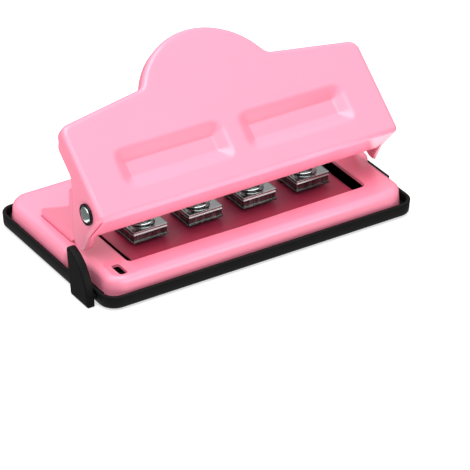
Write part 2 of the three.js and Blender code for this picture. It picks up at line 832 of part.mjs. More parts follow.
function trayCorners() {
  const rear = trayRearWidth / 2;
  const front = trayFrontWidth / 2;
  return [
    [-front, trayFrontY, trayRadius], [front, trayFrontY, trayRadius],
    [front, trayJogY, trayJogRadius], [rear, trayJogY, trayJogRadius],
    [rear, trayBackY, trayRadius], [-rear, trayBackY, trayRadius],
    [-rear, trayJogY, trayJogRadius], [-front, trayJogY, trayJogRadius],
  ];
}

function chipTray() {
  const corners = trayCorners();
  const floorTop = trayBottom + trayFloor;
  const outer = loft([
    { points: outline(corners, trayDraft), height: trayBottom },
    { points: outline(corners), height: trayLip },
  ]);
  const inner = prismAlongZ(outline(corners, trayWall), floorTop, trayLip + cutOverrun);
  const railStart = -shellFrontWidth / 2 + sheetThickness + railInset;
  const rails = [barFrontY - restGap - railThickness, barBackY + restGap].map((y) => block(
    [railStart, railStart + railLength], [y, y + railThickness], [trayBottom + trayFloor / 2, floorTop + railHeight],
  ));
  const barHole = block(
    [-trayFrontWidth / 2 - cutOverrun, -trayFrontWidth / 2 + trayWall + cutOverrun],
    [barFrontY - restGap, barBackY + restGap],
    [floorTop, barTop + restGap],
  );
  const seats = footPlaces().map(([x, y]) => rodAlongZ(
    footRadius + restGap, trayBottom - cutOverrun, trayBottom + footSeat, x, y,
  ));
  return cut(join(cut(outer, inner), ...rails), barHole, ...seats);
}

function trayFoot([x, y]) {
  return rodAlongZ(footRadius, 0, trayBottom + footSeat - seatGap, x, y);
}

// Paper guide: the fin's curved front edge and its flat bar
function finOutline() {
  const depth = finTopY - finFrontY;
  const at = ([across, up]) => new THREE.Vector2(finFrontY + depth * across, finBottom + finHeight * up);
  const tip = new THREE.Vector2(finFrontY + depth * finTipShare, finHeight);
  const front = new THREE.CubicBezierCurve(
    new THREE.Vector2(finFrontY, finBottom), ...finFrontShares.map(at), tip,
  ).getPoints(curveSteps);
  const crown = new THREE.QuadraticBezierCurve(
    tip, new THREE.Vector2(finTopY, finHeight), new THREE.Vector2(finTopY, finHeight - finTipRound),
  ).getPoints(edgeSteps);
  return [new THREE.Vector2(finBackY, finBottom), ...crown.reverse(), ...front.reverse().slice(1)];
}

function paperGuide() {
  const points = finOutline();
  const middle = points.reduce((sum, p) => sum.add(p), new THREE.Vector2()).divideScalar(points.length);
  const eased = points.map((p) => {
    const reach = p.distanceTo(middle);
    return middle.clone().lerp(p, 1 - finEdge / reach);
  });
  const turn = new THREE.Matrix4().makeBasis(
    new THREE.Vector3(0, 1, 0), new THREE.Vector3(0, 0, 1), new THREE.Vector3(1, 0, 0),
  );
  const fin = loft([
    { points: eased, height: finOuterX },
    { points, height: finOuterX + finEdge },
    { points, height: finInnerX - finEdge },
    { points: eased, height: finInnerX },
  ]).applyMatrix4(turn);
  const bar = block(
    [finInnerX - finThickness / 2, finInnerX + barLength], [barFrontY, barBackY], [barBottom, barTop],
  );
  return join(fin, bar);
}

add('base_shell', baseShell(), 'paint');
add('left_ear', ear(-1), 'paint');
add('right_ear', ear(1), 'paint');
add('left_pivot_rivet', pivotRivet(-1), 'chrome');
add('right_pivot_rivet', pivotRivet(1), 'chrome');
add('left_pivot_washer', pivotWasher(-1), 'steel');
add('right_pivot_washer', pivotWasher(1), 'steel');
add('punch_bed', punchBed(), 'shadedPaint');
guideRivetPlaces.forEach((x, i) => add(`guide_rivet_${i + 1}`, guideRivet(x), 'steel'));
punchPlaces.forEach((x, i) => {
  add(`punch_guide_${i + 1}`, punchGuide(x), 'chrome');
  add(`punch_${i + 1}`, punch(x), 'steel');
  add(`return_spring_${i + 1}`, returnSpring(x), 'chrome');
});
add('handle', handle(), 'paint', handleGroup);
add('press_bar', pressBar(), 'steel', handleGroup);
add('chip_tray', chipTray(), 'blackPlastic');
footPlaces().forEach((place, i) => add(`tray_foot_${i + 1}`, trayFoot(place), 'rubber'));
add('paper_guide', paperGuide(), 'blackPlastic');

console.log(`least gap between spring turns: ${springGap(springPath()).toFixed(2)} mm`);

// The fin stands out on the left, so the punch moves right to put the middle of the whole at x = 0
parts.position.x = (-trayRearWidth / 2 - finOuterX) / 2;

export default parts;
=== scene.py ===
import math

import bmesh
import bpy
import numpy as np
from mathutils import Matrix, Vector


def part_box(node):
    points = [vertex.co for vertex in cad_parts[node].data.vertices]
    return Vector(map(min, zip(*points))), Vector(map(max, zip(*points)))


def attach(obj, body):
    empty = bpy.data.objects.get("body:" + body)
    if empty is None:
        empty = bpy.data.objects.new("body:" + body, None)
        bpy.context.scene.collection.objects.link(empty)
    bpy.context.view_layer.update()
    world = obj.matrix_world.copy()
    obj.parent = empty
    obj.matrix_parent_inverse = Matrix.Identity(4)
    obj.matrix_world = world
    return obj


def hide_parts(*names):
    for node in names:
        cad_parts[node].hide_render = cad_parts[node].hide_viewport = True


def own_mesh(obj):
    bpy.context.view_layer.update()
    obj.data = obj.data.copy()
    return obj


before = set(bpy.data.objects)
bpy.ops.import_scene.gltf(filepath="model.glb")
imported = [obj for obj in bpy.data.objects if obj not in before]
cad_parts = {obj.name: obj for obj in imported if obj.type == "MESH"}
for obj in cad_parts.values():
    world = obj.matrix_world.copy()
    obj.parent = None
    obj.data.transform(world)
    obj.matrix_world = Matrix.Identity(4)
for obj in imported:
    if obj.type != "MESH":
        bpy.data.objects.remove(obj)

bl_info = {
    "name": "Disc binding punch",
    "version": (1, 0, 0),
    "blender": (4, 5, 0),
    "location": "View3D > Sidebar > Punch",
    "description": "Builds the visible surfaces of a disc binding punch over its packed solids",
    "category": "Object",
}

# Sizes in millimetres: x along the punch from the middle of its cover, y to the back, z up from the table

MM = 0.001
MIDDLE = (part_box("base_shell")[0][0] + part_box("base_shell")[1][0]) / 2 / MM

# Sheet steel, the radius of its free edges, and the gap that the punches run in
SHEET = 1.2
SHEET_EDGE = SHEET / 2
RUNNING_GAP = 0.15

# Handle, its panel leaning back at rest: the pivot is up the panel from the front bend and below its face,
# depths are square to the panel, and the lug's drop and reach from the pivot are upright and level
PIVOT_Y = -21.65
PIVOT_Z = 33.5
REST_ANGLE = math.radians(39.9)
BEND_TO_PIVOT = 7.35
PANEL_TO_PIVOT = 8.8
HANDLE_CORNER = 2.3
WALL_DEPTH = 16.4
FLANGE_DEPTH = 9.1
LIP_DEPTH = 6.0
LUG_DROP = 18.3
LUG_REACH = 12.1
TOE_LEAN = 0.25
TOE_DROP = 0.9

# Base cover and pivot ears
DECK_Z = 12.0
COVER_BOTTOM = 2.5
COVER_FRONT = -39.6
COVER_BACK = 39.6
OPENING_X = 55.2
OPENING_FRONT = -29.5
OPENING_BACK = 1.2
WINDOW_X = -60.6
WINDOW_Y = -31.2
EAR_NEAR = 65.2
EAR_FAR = 66.7
EAR_FRONT = PIVOT_Y + 16.25
EAR_BACK = PIVOT_Y + 40.25
EAR_BOSS = 5.6

# Punching row
BED_Z = 9.0
GUIDE_TOP = 15.7
PUNCH_Y = -9.85
PITCH = 25.4
PUNCH_X = [(k - 1.5) * PITCH for k in range(4)]
HEAD_UNDER = 25.4
HEAD_TOP = 27.0

# Gap in the walls of the cover and the tray for the bar of the paper guide
BAR_NOTCH_FRONT = -33.3
BAR_NOTCH_BACK = -22.7


# Sizes and colours that a user would change

class PunchSizes(bpy.types.PropertyGroup):
    handle_width: bpy.props.FloatProperty(
        name="Handle width", description="Length of the handle along the punch",
        default=0.1378, unit="LENGTH", subtype="DISTANCE")
    handle_bend: bpy.props.FloatProperty(
        name="Handle bend", description="Outer radius of the bend from the panel to its walls",
        default=0.002, unit="LENGTH", subtype="DISTANCE")
    pocket_depth: bpy.props.FloatProperty(
        name="Pocket depth", description="Depth of the two pressed pockets in the handle",
        default=0.003, unit="LENGTH", subtype="DISTANCE")
    cover_edge: bpy.props.FloatProperty(
        name="Cover edge", description="Radius of the upper edge of the base cover",
        default=0.003, unit="LENGTH", subtype="DISTANCE")
    wire_radius: bpy.props.FloatProperty(
        name="Spring wire", description="Radius of the wire of the return springs",
        default=0.0005, unit="LENGTH", subtype="DISTANCE")
    stage_width: bpy.props.FloatProperty(
        name="Floor width", description="Width of the plain floor",
        default=6.0, unit="LENGTH", subtype="DISTANCE")


class PunchColours(bpy.types.PropertyGroup):
    enamel: bpy.props.FloatVectorProperty(
        name="Enamel", description="Colour of the painted cover, ears and handle",
        default=(0.98, 0.276, 0.396), size=3, subtype="COLOR", min=0.0, max=1.0)
    enamel_roughness: bpy.props.FloatProperty(
        name="Enamel roughness", description="Roughness of the painted steel",
        default=0.24, subtype="FACTOR", min=0.0, max=1.0)
    plastic: bpy.props.FloatVectorProperty(
        name="Plastic", description="Colour of the chip tray and the paper guide",
        default=(0.006, 0.006, 0.006), size=3, subtype="COLOR", min=0.0, max=1.0)
    chrome: bpy.props.FloatVectorProperty(
        name="Plating", description="Colour of the bright plated pieces",
        default=(0.64, 0.64, 0.64), size=3, subtype="COLOR", min=0.0, max=1.0)
    steel: bpy.props.FloatVectorProperty(
        name="Steel", description="Colour of the bare steel pieces",
        default=(0.50, 0.49, 0.48), size=3, subtype="COLOR", min=0.0, max=1.0)
    floor: bpy.props.FloatVectorProperty(
        name="Floor", description="Colour of the floor",
        default=(0.50, 0.50, 0.50), size=3, subtype="COLOR", min=0.0, max=1.0)


# Curves and surfaces in millimetres

def smooth(t):
    """Smooth step: 3t² - 2t³ with t held between 0 and 1."""
    t = np.clip(t, 0.0, 1.0)
    return t * t * (3.0 - 2.0 * t)


def rounded(corners, spacing=0.6, arc=12):
    """Closed outline, anticlockwise: straight edges between corners, each turned on an arc of its own
    radius, centre + r·(cos a, sin a). Returns the points and their outward unit normals."""
    spots = np.array([c[:2] for c in corners], float)
    radii = np.array([c[2] for c in corners], float)
    on = np.roll(spots, -1, 0) - spots
    length = np.linalg.norm(on, axis=1)
    on = on / length[:, None]
    come = np.roll(on, 1, 0)
    turn = np.arctan2(come[:, 0] * on[:, 1] - come[:, 1] * on[:, 0], (come * on).sum(1))
    trim = radii * np.abs(np.tan(turn / 2))
    points, normals = [], []
    for i in range(len(spots)):
        side = 1.0 if turn[i] >= 0 else -1.0
        right = np.array([come[i, 1], -come[i, 0]])
        centre = spots[i] - come[i] * trim[i] - side * radii[i] * right
        a = np.linspace(0.0, turn[i], arc + 1) if radii[i] > 0 else np.zeros(1)
        n = np.stack([right[0] * np.cos(a) - right[1] * np.sin(a),
                      right[0] * np.sin(a) + right[1] * np.cos(a)], -1)
        if radii[i] <= 0:
            n = n + np.array([on[i, 1], -on[i, 0]])
            n = n / np.linalg.norm(n, axis=1)[:, None] / math.cos(turn[i] / 2)
        points.append(centre + side * radii[i] * n if radii[i] > 0 else spots[i][None])
        normals.append(n)
        j = (i + 1) % len(spots)
        start = spots[i] + on[i] * trim[i]
        run = length[i] - trim[i] - trim[j]
        many = max(int(math.ceil(run / spacing)), 1)
        t = np.arange(1, many)[:, None] / many * run
        points.append(start + on[i] * t)
        normals.append(np.repeat(np.array([[on[i, 1], -on[i, 0]]]), many - 1, 0))
    return np.concatenate(points), np.concatenate(normals)


def edge_normals(points):
    """Outward normals of a closed anticlockwise polygon: at each point the mean of its two edges' unit
    normals, stretched so that a move along it shifts both edges evenly."""
    on = np.roll(points, -1, 0) - points
    on = on / np.linalg.norm(on, axis=1)[:, None]
    right = np.stack([on[:, 1], -on[:, 0]], -1)
    n = right + np.roll(right, 1, 0)
    n = n / np.linalg.norm(n, axis=1)[:, None]
    return n / np.clip((n * right).sum(1), 0.6, 1.0)[:, None]


def box_corners(x0, x1, y0, y1, r):
    """Corners of a rectangle, all of radius r."""
    return [(x0, y0, r), (x1, y0, r), (x1, y1, r), (x0, y1, r)]


def strip_corners(path, thickness):
    """Corners of a bent strip: the path, then the path moved to its left by the thickness, mitred, and
    walked back. A corner's radius shrinks by the thickness on the inside of a bend and grows outside."""
    spots = np.array([p[:2] for p in path], float)
    radii = np.array([p[2] for p in path], float)
    on = np.diff(spots, axis=0)
    on = on / np.linalg.norm(on, axis=1)[:, None]
    first = np.concatenate([on[:1], on])
    second = np.concatenate([on, on[-1:]])
    mean = first + second
    mean = mean / np.linalg.norm(mean, axis=1)[:, None]
    left = np.stack([-mean[:, 1], mean[:, 0]], -1)
    far = spots + left * (thickness / (mean * second).sum(1))[:, None]
    bend = np.sign(first[:, 0] * second[:, 1] - first[:, 1] * second[:, 0])
    outer = np.clip(radii - bend * thickness, 0.1, None)
    outer = np.where(bend == 0, 0.25, outer)
    near = np.where(bend == 0, 0.25, radii)
    walk = [(p[0], p[1], r) for p, r in zip(spots, near)]
    back = [(p[0], p[1], r) for p, r in zip(far[::-1], outer[::-1])]
    return walk + back


def cells(rows, cols, closed_rows=False, closed_cols=True):
    """Corner numbers of the cells of a grid of points, row by row."""
    r = np.arange(rows if closed_rows else rows - 1)[:, None]
    c = np.arange(cols if closed_cols else cols - 1)[None, :]
    down, side = (r + 1) % rows, (c + 1) % cols
    return np.stack([r * cols + c, r * cols + side, down * cols + side, down * cols + c], -1).reshape(-1, 4)


def facing_out(points, faces):
    """Turns the faces round where the volume sum of p·(q×r)/6 over them is negative."""
    quads = np.array([f for f in faces if len(f) == 4])
    a, b, c, d = (points[quads[:, k]] for k in range(4))
    volume = (a * np.cross(b, c)).sum() + (a * np.cross(c, d)).sum()
    for f in faces:
        if len(f) != 4:
            ring = points[np.array(f)]
            volume += (ring[0] * np.cross(ring[1:-1], ring[2:])).sum()
    if volume < 0:
        faces = [f[::-1] for f in faces]
    return points, faces


def through(loops, ring=False):
    """Closed surface through loops of as many points each: a ring returns to its first loop, and
    otherwise both end loops are filled."""
    rows, cols = loops.shape[:2]
    faces = cells(rows, cols, closed_rows=ring).tolist()
    if not ring:
        faces.append(list(range(cols))[::-1])
        faces.append(list(range((rows - 1) * cols, rows * cols)))
    return facing_out(loops.reshape(-1, 3), faces)


def slab(outline, profile, axis="Z"):
    """Outline P with normals N carried along an axis: at each (height, inset) of the profile the loop is
    P - inset·N at that height."""
    points, normals = outline
    profile = np.asarray(profile, float)
    flat = points[None] - profile[:, 1, None, None] * normals[None]
    level = np.broadcast_to(profile[:, 0, None], flat.shape[:2])
    order = {"Z": (flat[..., 0], flat[..., 1], level), "X": (level, flat[..., 0], flat[..., 1])}[axis]
    return through(np.stack(order, -1))


def eased(bottom, top, edge, steps=4, ease=0.08):
    """Profile (height, inset) of a block with quarter-round edges: inset e(1 - sin a) at height e(1 - cos a)
    from each end, with one more loop just inside to keep the ends flat."""
    a = np.linspace(0.0, math.pi / 2, steps + 1)
    inset = edge * (1 - np.sin(a))
    rise = edge * (1 - np.cos(a))
    low = np.stack([bottom + rise, inset], -1)
    high = np.stack([top - rise[::-1], inset[::-1]], -1)
    return np.concatenate([[[bottom, edge + ease]], low, high, [[top, edge + ease]]])


def turned(profile, centre, axis="Z", steps=64, flip=1.0):
    """Profile (radius, height) turned about an axis: centre + (r·cos a, r·sin a, h)."""
    profile = np.asarray(profile, float)
    a = np.linspace(0.0, 2 * math.pi, steps, endpoint=False)
    r, h = profile[:, 0, None], profile[:, 1, None] + 0 * a
    u, v = r * np.cos(a), r * np.sin(a)
    parts = (u, v, h) if axis == "Z" else (flip * h, u, v)
    loops = np.stack(parts, -1) + np.asarray(centre, float)
    points = loops.reshape(-1, 3)
    return facing_out(points, cells(len(profile), steps).tolist())


def arc(centre, radius, start, end, steps):
    """Points centre + r·(cos a, sin a) from one angle to another, in degrees."""
    a = np.radians(np.linspace(start, end, steps + 1))
    return np.stack([centre[0] + radius * np.cos(a), centre[1] + radius * np.sin(a)], -1)


def matched(loop, outline, centre):
    """For each point of a loop, the point of an outline in the same direction from a centre that both
    go round once."""
    centre = np.asarray(centre, float)
    far = np.arctan2(*(outline - centre).T[::-1])
    start = np.argmin(far)
    ring = np.roll(outline, -start, 0)
    angle = np.unwrap(np.roll(far, -start))
    ring = np.concatenate([ring, ring[:1]])
    angle = np.concatenate([angle, [angle[0] + 2 * math.pi]])
    want = np.arctan2(*(loop - centre).T[::-1])
    want = (want - angle[0]) % (2 * math.pi) + angle[0]
    return np.stack([np.interp(want, angle, ring[:, 0]), np.interp(want, angle, ring[:, 1])], -1)


# Pieces

def solid_of(shells):
    """Joins shells into one list of points, in the frame's metres, and one list of faces."""
    points, faces, start = [], [], 0
    for spots, corners in shells:
        points.append(spots)
        faces += [[v + start for v in f] for f in corners]
        start += len(spots)
    points = np.concatenate(points) + np.array([MIDDLE, 0.0, 0.0])
    return points * MM, faces


def object_of(name, shells):
    """A mesh object at the origin whose seams and poles are welded."""
    weld, sliver = 2e-6, 1e-7
    points, faces = solid_of(shells)
    mesh = bpy.data.meshes.new(name)
    mesh.from_pydata(points, [], faces)
    work = bmesh.new()
    work.from_mesh(mesh)
    bmesh.ops.remove_doubles(work, verts=work.verts, dist=weld)
    bmesh.ops.dissolve_degenerate(work, edges=work.edges, dist=sliver)
    work.to_mesh(mesh)
    work.free()
    thing = bpy.data.objects.new(name, mesh)
    bpy.context.scene.collection.objects.link(thing)
    return thing


def cut_away(thing, shells):
    """Takes the shells out of an object's mesh."""
    tool = object_of(thing.name + "_tool", shells)
    step = thing.modifiers.new("cut", "BOOLEAN")
    step.object = tool
    step.operation = "DIFFERENCE"
    step.solver = "MANIFOLD"
    graph = bpy.context.evaluated_depsgraph_get()
    mesh = bpy.data.meshes.new_from_object(thing.evaluated_get(graph))
    thing.modifiers.clear()
    old = thing.data
    thing.data = mesh
    bpy.data.meshes.remove(old)
    spare = tool.data
    bpy.data.objects.remove(tool)
    bpy.data.meshes.remove(spare)
    mesh.name = thing.name


def finish_piece(thing, finish, body, replaces, angle=38.0):
    """Smooth shading up to an angle, then the material, the body and the node it stands for."""
    mesh = thing.data
    mesh.shade_smooth()
    mesh.set_sharp_from_angle(angle=math.radians(angle))
    mesh.materials.clear()
    mesh.materials.append(bpy.data.materials[finish])
    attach(thing, body)
    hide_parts(*replaces)


# Finishes

def blank(name):
    """A new node material, its parts, and the Object coordinates that every pattern here reads."""
    material = bpy.data.materials.new(name)
    material.use_nodes = True
    nodes, links = material.node_tree.nodes, material.node_tree.links
    shader = nodes["Principled BSDF"]
    place = nodes.new("ShaderNodeTexCoord")
    return material, nodes, links, shader, place.outputs["Object"]


def speckle(nodes, links, source, scale, detail=3.0, rough=0.5, stretch=None):
    """Noise on Object coordinates, its scale in cycles per metre."""
    if stretch:
        turn = nodes.new("ShaderNodeMapping")
        turn.inputs["Scale"].default_value = stretch
        links.new(source, turn.inputs["Vector"])
        source = turn.outputs["Vector"]
    noise = nodes.new("ShaderNodeTexNoise")
    noise.inputs["Scale"].default_value = scale
    noise.inputs["Detail"].default_value = detail
    noise.inputs["Roughness"].default_value = rough
    links.new(source, noise.inputs["Vector"])
    return noise.outputs["Fac"]


def between(nodes, links, source, low, high):
    """A factor brought from 0.3..0.7 to a chosen span."""
    span = nodes.new("ShaderNodeMapRange")
    span.inputs["From Min"].default_value = 0.3
    span.inputs["From Max"].default_value = 0.7
    span.inputs["To Min"].default_value = low
    span.inputs["To Max"].default_value = high
    links.new(source, span.inputs["Value"])
    return span.outputs["Result"]


def tint(nodes, links, source, low, high):
    """A colour that runs between two tints with a factor."""
    ramp = nodes.new("ShaderNodeValToRGB")
    ramp.color_ramp.elements[0].position = 0.3
    ramp.color_ramp.elements[1].position = 0.7
    ramp.color_ramp.elements[0].color = (*low, 1.0)
    ramp.color_ramp.elements[1].color = (*high, 1.0)
    links.new(source, ramp.inputs["Fac"])
    return ramp.outputs["Color"]


def relief(nodes, links, shader, source, strength, distance):
    """Bump from a factor, its full height given in metres."""
    bump = nodes.new("ShaderNodeBump")
    bump.inputs["Strength"].default_value = strength
    bump.inputs["Distance"].default_value = distance
    links.new(source, bump.inputs["Height"])
    links.new(bump.outputs["Normal"], shader.inputs["Normal"])


def enamel(name, colour, roughness, gloss=0.35):
    """Sprayed and stoved paint: nearly even colour, slightly uneven roughness and a clear gloss."""
    _, nodes, links, shader, source = blank(name)
    cloud = speckle(nodes, links, source, 55.0, 3.0)
    links.new(tint(nodes, links, cloud, colour * 0.985, np.clip(colour * 1.015, 0, 1)),
              shader.inputs["Base Color"])
    haze = speckle(nodes, links, source, 30.0, 2.0)
    links.new(between(nodes, links, haze, roughness - 0.005, roughness + 0.005), shader.inputs["Roughness"])
    shader.inputs["IOR"].default_value = 1.5
    shader.inputs["Coat Weight"].default_value = gloss
    shader.inputs["Coat Roughness"].default_value = 0.18


def metal(name, colour, low, high, stretch, strength, streak=0.0):
    """Bare or plated metal: fine drawn lines along one axis in its roughness and its surface, and where
    streak is set in its colour too, its brighter streaks serving also as painted streaky highlights."""
    _, nodes, links, shader, source = blank(name)
    shader.inputs["Metallic"].default_value = 1.0
    lines = speckle(nodes, links, source, 700.0, 4.0, 0.6, stretch)
    cloud = lines if streak else speckle(nodes, links, source, 120.0, 3.0)
    dark, light = colour * (0.93 - streak), np.clip(colour * (1.05 + 2 * streak), 0, 1)
    links.new(tint(nodes, links, cloud, dark, light), shader.inputs["Base Color"])
    links.new(between(nodes, links, lines, low, high), shader.inputs["Roughness"])
    relief(nodes, links, shader, lines, strength, 0.00005)


def grained(name, colour, low, high, scale, strength, distance):
    """Moulded plastic or rubber: a fine pebbled grain, with uneven roughness."""
    _, nodes, links, shader, source = blank(name)
    cloud = speckle(nodes, links, source, 90.0, 4.0)
    links.new(tint(nodes, links, cloud, colour * 0.85, colour * 1.15), shader.inputs["Base Color"])
    links.new(between(nodes, links, cloud, low, high), shader.inputs["Roughness"])
    shader.inputs["Specular IOR Level"].default_value = 0.08
    grain = nodes.new("ShaderNodeTexVoronoi")
    grain.inputs["Scale"].default_value = scale
    links.new(source, grain.inputs["Vector"])
    relief(nodes, links, shader, grain.outputs["Distance"], strength, distance)


class FinishesOperator(bpy.types.Operator):
    """Makes the paint, plating, steel, plastic and rubber, and gives them to the carried-over solids"""
    bl_idname = "disc_punch.finishes"
    bl_label = "Finishes"

    def execute(self, context):
        colours = context.scene.disc_punch_colours
        pink, roughness = np.array(colours.enamel), colours.enamel_roughness
        enamel("pink_enamel", pink, roughness)
        # The bed is the same pink, darkened and reddened as painted shade for the shadow and red bounce
        # under the handle, and has no gloss
        enamel("bed_enamel_painted_shade", pink * np.array([0.48, 0.17, 0.27]), roughness + 0.20, 0.0)
        chrome, steel, plastic = (np.array(c) for c in (colours.chrome, colours.steel, colours.plastic))
        along_x, along_y, along_z = (0.08, 1.0, 1.0), (1.0, 0.12, 1.0), (1.0, 1.0, 0.06)
        # Guide bodies: plating darkened as painted shade for the dark under the handle, tinted green to
        # cancel the red bounce from the bed, with strong colour streaks along its drawn lines
        metal("guide_plating_painted_shade", chrome * np.array([0.15, 0.19, 0.18]), 0.16, 0.30, along_z, 0.12, 0.5)
        metal("plate_plating", chrome * 0.62, 0.07, 0.16, along_y, 0.02)
        metal("polished_plating", chrome * np.array([1.25, 1.48, 1.46]), 0.06, 0.12, (1.0, 1.0, 1.0), 0.0)
        # Rivet rims: steel made near-black as painted shade, for the dark reflection on the head's side and
        # the contact shadow round it
        metal("rivet_rim_painted_shade", steel * 0.06, 0.18, 0.28, (1.0, 1.0, 0.2), 0.02)
        metal("bare_steel", steel, 0.24, 0.38, along_x, 0.08)
        grained("moulded_plastic", plastic, 0.42, 0.52, 1400.0, 0.10, 0.00010)
        grained("foot_rubber", plastic * 0.8, 0.80, 0.92, 900.0, 0.25, 0.00015)
        for name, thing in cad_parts.items():
            if any(word in name for word in ("washer", "guide_rivet", "press_bar")):
                thing.data.materials.clear()
                thing.data.materials.append(bpy.data.materials["bare_steel"])
        return {"FINISHED"}


# Handle: x along it, s up its panel from the front bend, w down from the face of the panel

def handle_place(x, s, w):
    """y = yp + a·cos q - b·sin q and z = zp + a·sin q + b·cos q, where a and b go from the pivot up the
    panel and out of it, and q is the angle of rest."""
    a, b = s - BEND_TO_PIVOT, PANEL_TO_PIVOT - w
    cos, sin = math.cos(REST_ANGLE), math.sin(REST_ANGLE)
    return np.stack([x, PIVOT_Y + a * cos - b * sin, PIVOT_Z + a * sin + b * cos], -1)


def handle_corners(half):
    """Plan of the panel. The rear edge rises inwards by 0.15 from each end to a shoulder, and from there
    a side at 30 degrees to the middle line goes on to the round dome."""
    rear_end, rise = 41.3, 0.15
    dome_centre, dome_radius, dome_side = 33.5, 32.0, math.radians(30)
    apex = dome_centre + dome_radius / math.sin(dome_side)
    steep = 1 / math.tan(dome_side)
    shoulder = (apex - rear_end - rise * half) / (steep - rise)
    level = apex - shoulder * steep
    return [(-half, 0.0, HANDLE_CORNER), (half, 0.0, HANDLE_CORNER), (half, rear_end, 4.5),
            (shoulder, level, 5.0), (0.0, apex, dome_radius), (-shoulder, level, 5.0),
            (-half, rear_end, 4.5)]


def handle_depth(s):
    """Depth of the side wall along s: the lug, its slope up to the flange, and the shallow rear lip."""
    cos, sin = math.cos(REST_ANGLE), math.sin(REST_ANGLE)

    def to_handle(y, z):
        """(s, -w) of a point that lies y behind the pivot and z above it."""
        return y * cos + z * sin + BEND_TO_PIVOT, z * cos - y * sin - PANEL_TO_PIVOT

    front = to_handle((LUG_DROP * sin - BEND_TO_PIVOT) / cos, -LUG_DROP)
    rear = to_handle(LUG_REACH, -LUG_DROP)
    top = to_handle(LUG_REACH, (PANEL_TO_PIVOT - FLANGE_DEPTH + LUG_REACH * sin) / cos)
    above, beyond = 40.0, 90.0
    points, _ = rounded([(0.0, above, 0.0), (0.0, front[1], 3.0), (*rear, 3.0), (*top, 5.0),
                         (35.8, -FLANGE_DEPTH, 2.0), (37.8, -LIP_DEPTH, 1.0), (beyond, -LIP_DEPTH, 0.0),
                         (beyond, above, 0.0)], 0.3, 16)
    low = points[(points[:, 1] < 0.5 - LIP_DEPTH) & (points[:, 0] > 1e-4)]
    order = np.argsort(low[:, 0], kind="stable")
    return np.interp(s, low[order, 0], -low[order, 1])


def toe_share(s):
    """How far the lug's lower end at s leans forward: fully in front, not at all from s = 9 on."""
    return smooth((9.0 - s) / 8.0)


def toe_lean(s, w):
    """Forward shift that stands the lug's front edge a little more upright below the front wall, easing in
    over 0.6 on both sides of the wall's depth."""
    past, ease = w - WALL_DEPTH, 0.6
    eased_past = np.clip(past + ease, 0, 2 * ease) ** 2 / (4 * ease) + np.clip(past - ease, 0, None)
    return TOE_LEAN * toe_share(s) * eased_past


def toe_depth(s):
    """Depth at which the leaning lug reaches its level lower edge, with its front corner rounded."""
    sin, cos = math.sin(REST_ANGLE), math.cos(REST_ANGLE)
    slope = TOE_LEAN * sin * toe_share(s)
    drop = LUG_DROP + TOE_DROP * toe_share(s)
    level = ((s - BEND_TO_PIVOT) * sin + PANEL_TO_PIVOT * cos + WALL_DEPTH * slope + drop) / (cos + slope)
    corner = 1.6
    return level - corner + np.sqrt(corner ** 2 - np.clip(corner - s, 0, corner) ** 2)


def lug_depth(s):
    """Depth of the side wall with its leaning lug: the lesser of the toe's edge and the upright rear edge,
    the corner between them eased over 5, and from s = 7.5 on the plain depth."""
    rear_start, ease = 7.5, 5.0
    toe = toe_depth(s)
    rear = handle_depth(np.array([rear_start]))[0] + (rear_start - s) / math.tan(REST_ANGLE)
    eased_less = np.minimum(toe, rear) - np.clip(ease - np.abs(toe - rear), 0, None) ** 2 / (4 * ease)
    return np.where(s < rear_start, eased_less, handle_depth(s))


def pocket(x, s, depth):
    """Fall of the panel: depth·f(t). Over the walls t goes from 0 at the rim to 1 at the floor, on runs of
    6.8 at the ends and in front and 6.4 at the back, joined at the corners as 1 - (u^2.6 + v^2.6)^(1/2.6).
    f has a slope of 1 that sets in over the first third and ends over the last eighth."""
    middle, half_floor, floor_front, floor_back = 28.25, 19.2, 15.2, 20.8
    run, back_run, power = 6.8, 6.4, 2.6
    u = (np.abs(np.abs(x) - middle) - half_floor) / run
    v = np.where(s < (floor_front + floor_back) / 2, (floor_front - s) / run, (s - floor_back) / back_run)
    t = 1 - (np.clip(u, 0, 1) ** power + np.clip(v, 0, 1) ** power) ** (1 / power)
    t = np.clip(t, 0, 1)
    rim, crease = 0.34, 0.12
    f = np.clip(t, 0, rim) ** 2 / (2 * rim) + np.clip(t - rim, 0, 1)
    f = f - np.clip(t - 1 + crease, 0, crease) ** 2 / (2 * crease)
    return depth * f / (1 - rim / 2 - crease / 2)


def knots(stops):
    """Grid lines from (start, spacing) stops."""
    lines = []
    for (a, step), (b, _) in zip(stops[:-1], stops[1:]):
        lines.append(np.linspace(a, b, max(int(round((b - a) / step)), 1), endpoint=False))
    return np.concatenate(lines + [[stops[-1][0]]])


def panel_columns(side, corner):
    """Grid lines of the panel along x, alike on both halves: closer where a pocket's wall bends, beside the
    front returns, and on the corner, side - r + r·sin a."""
    nose = np.radians([0, 12, 22, 28, 30, 36, 42, 44, 50, 60, 74, 90])
    right = np.concatenate([
        knots([(0.0, 0.7), (2.0, 0.4), (4.6, 0.8), (8.3, 0.22), (9.8, 0.9), (46.6, 0.22), (48.1, 0.8),
               (51.6, 0.4), (54.6, 0.8), (side - 2.5, 0.8)])[:-1],
        side - np.array([2.5, 2.0, 1.5, 1.11, 1.1, 1.02, 0.9, 0.7, 0.45]),
        side - corner + corner * np.sin(nose)])
    return np.concatenate([-right[:0:-1], right])


def front_line(cols, side, corner):
    """Front border of the flat panel at each column, with its normals: level, and round at both corners."""
    swing = np.clip((np.abs(cols) - (side - corner)) / corner, 0, 1)
    across = np.sqrt(1 - swing ** 2)
    return HANDLE_CORNER - corner * across, np.stack([np.sign(cols) * swing, -across], -1)


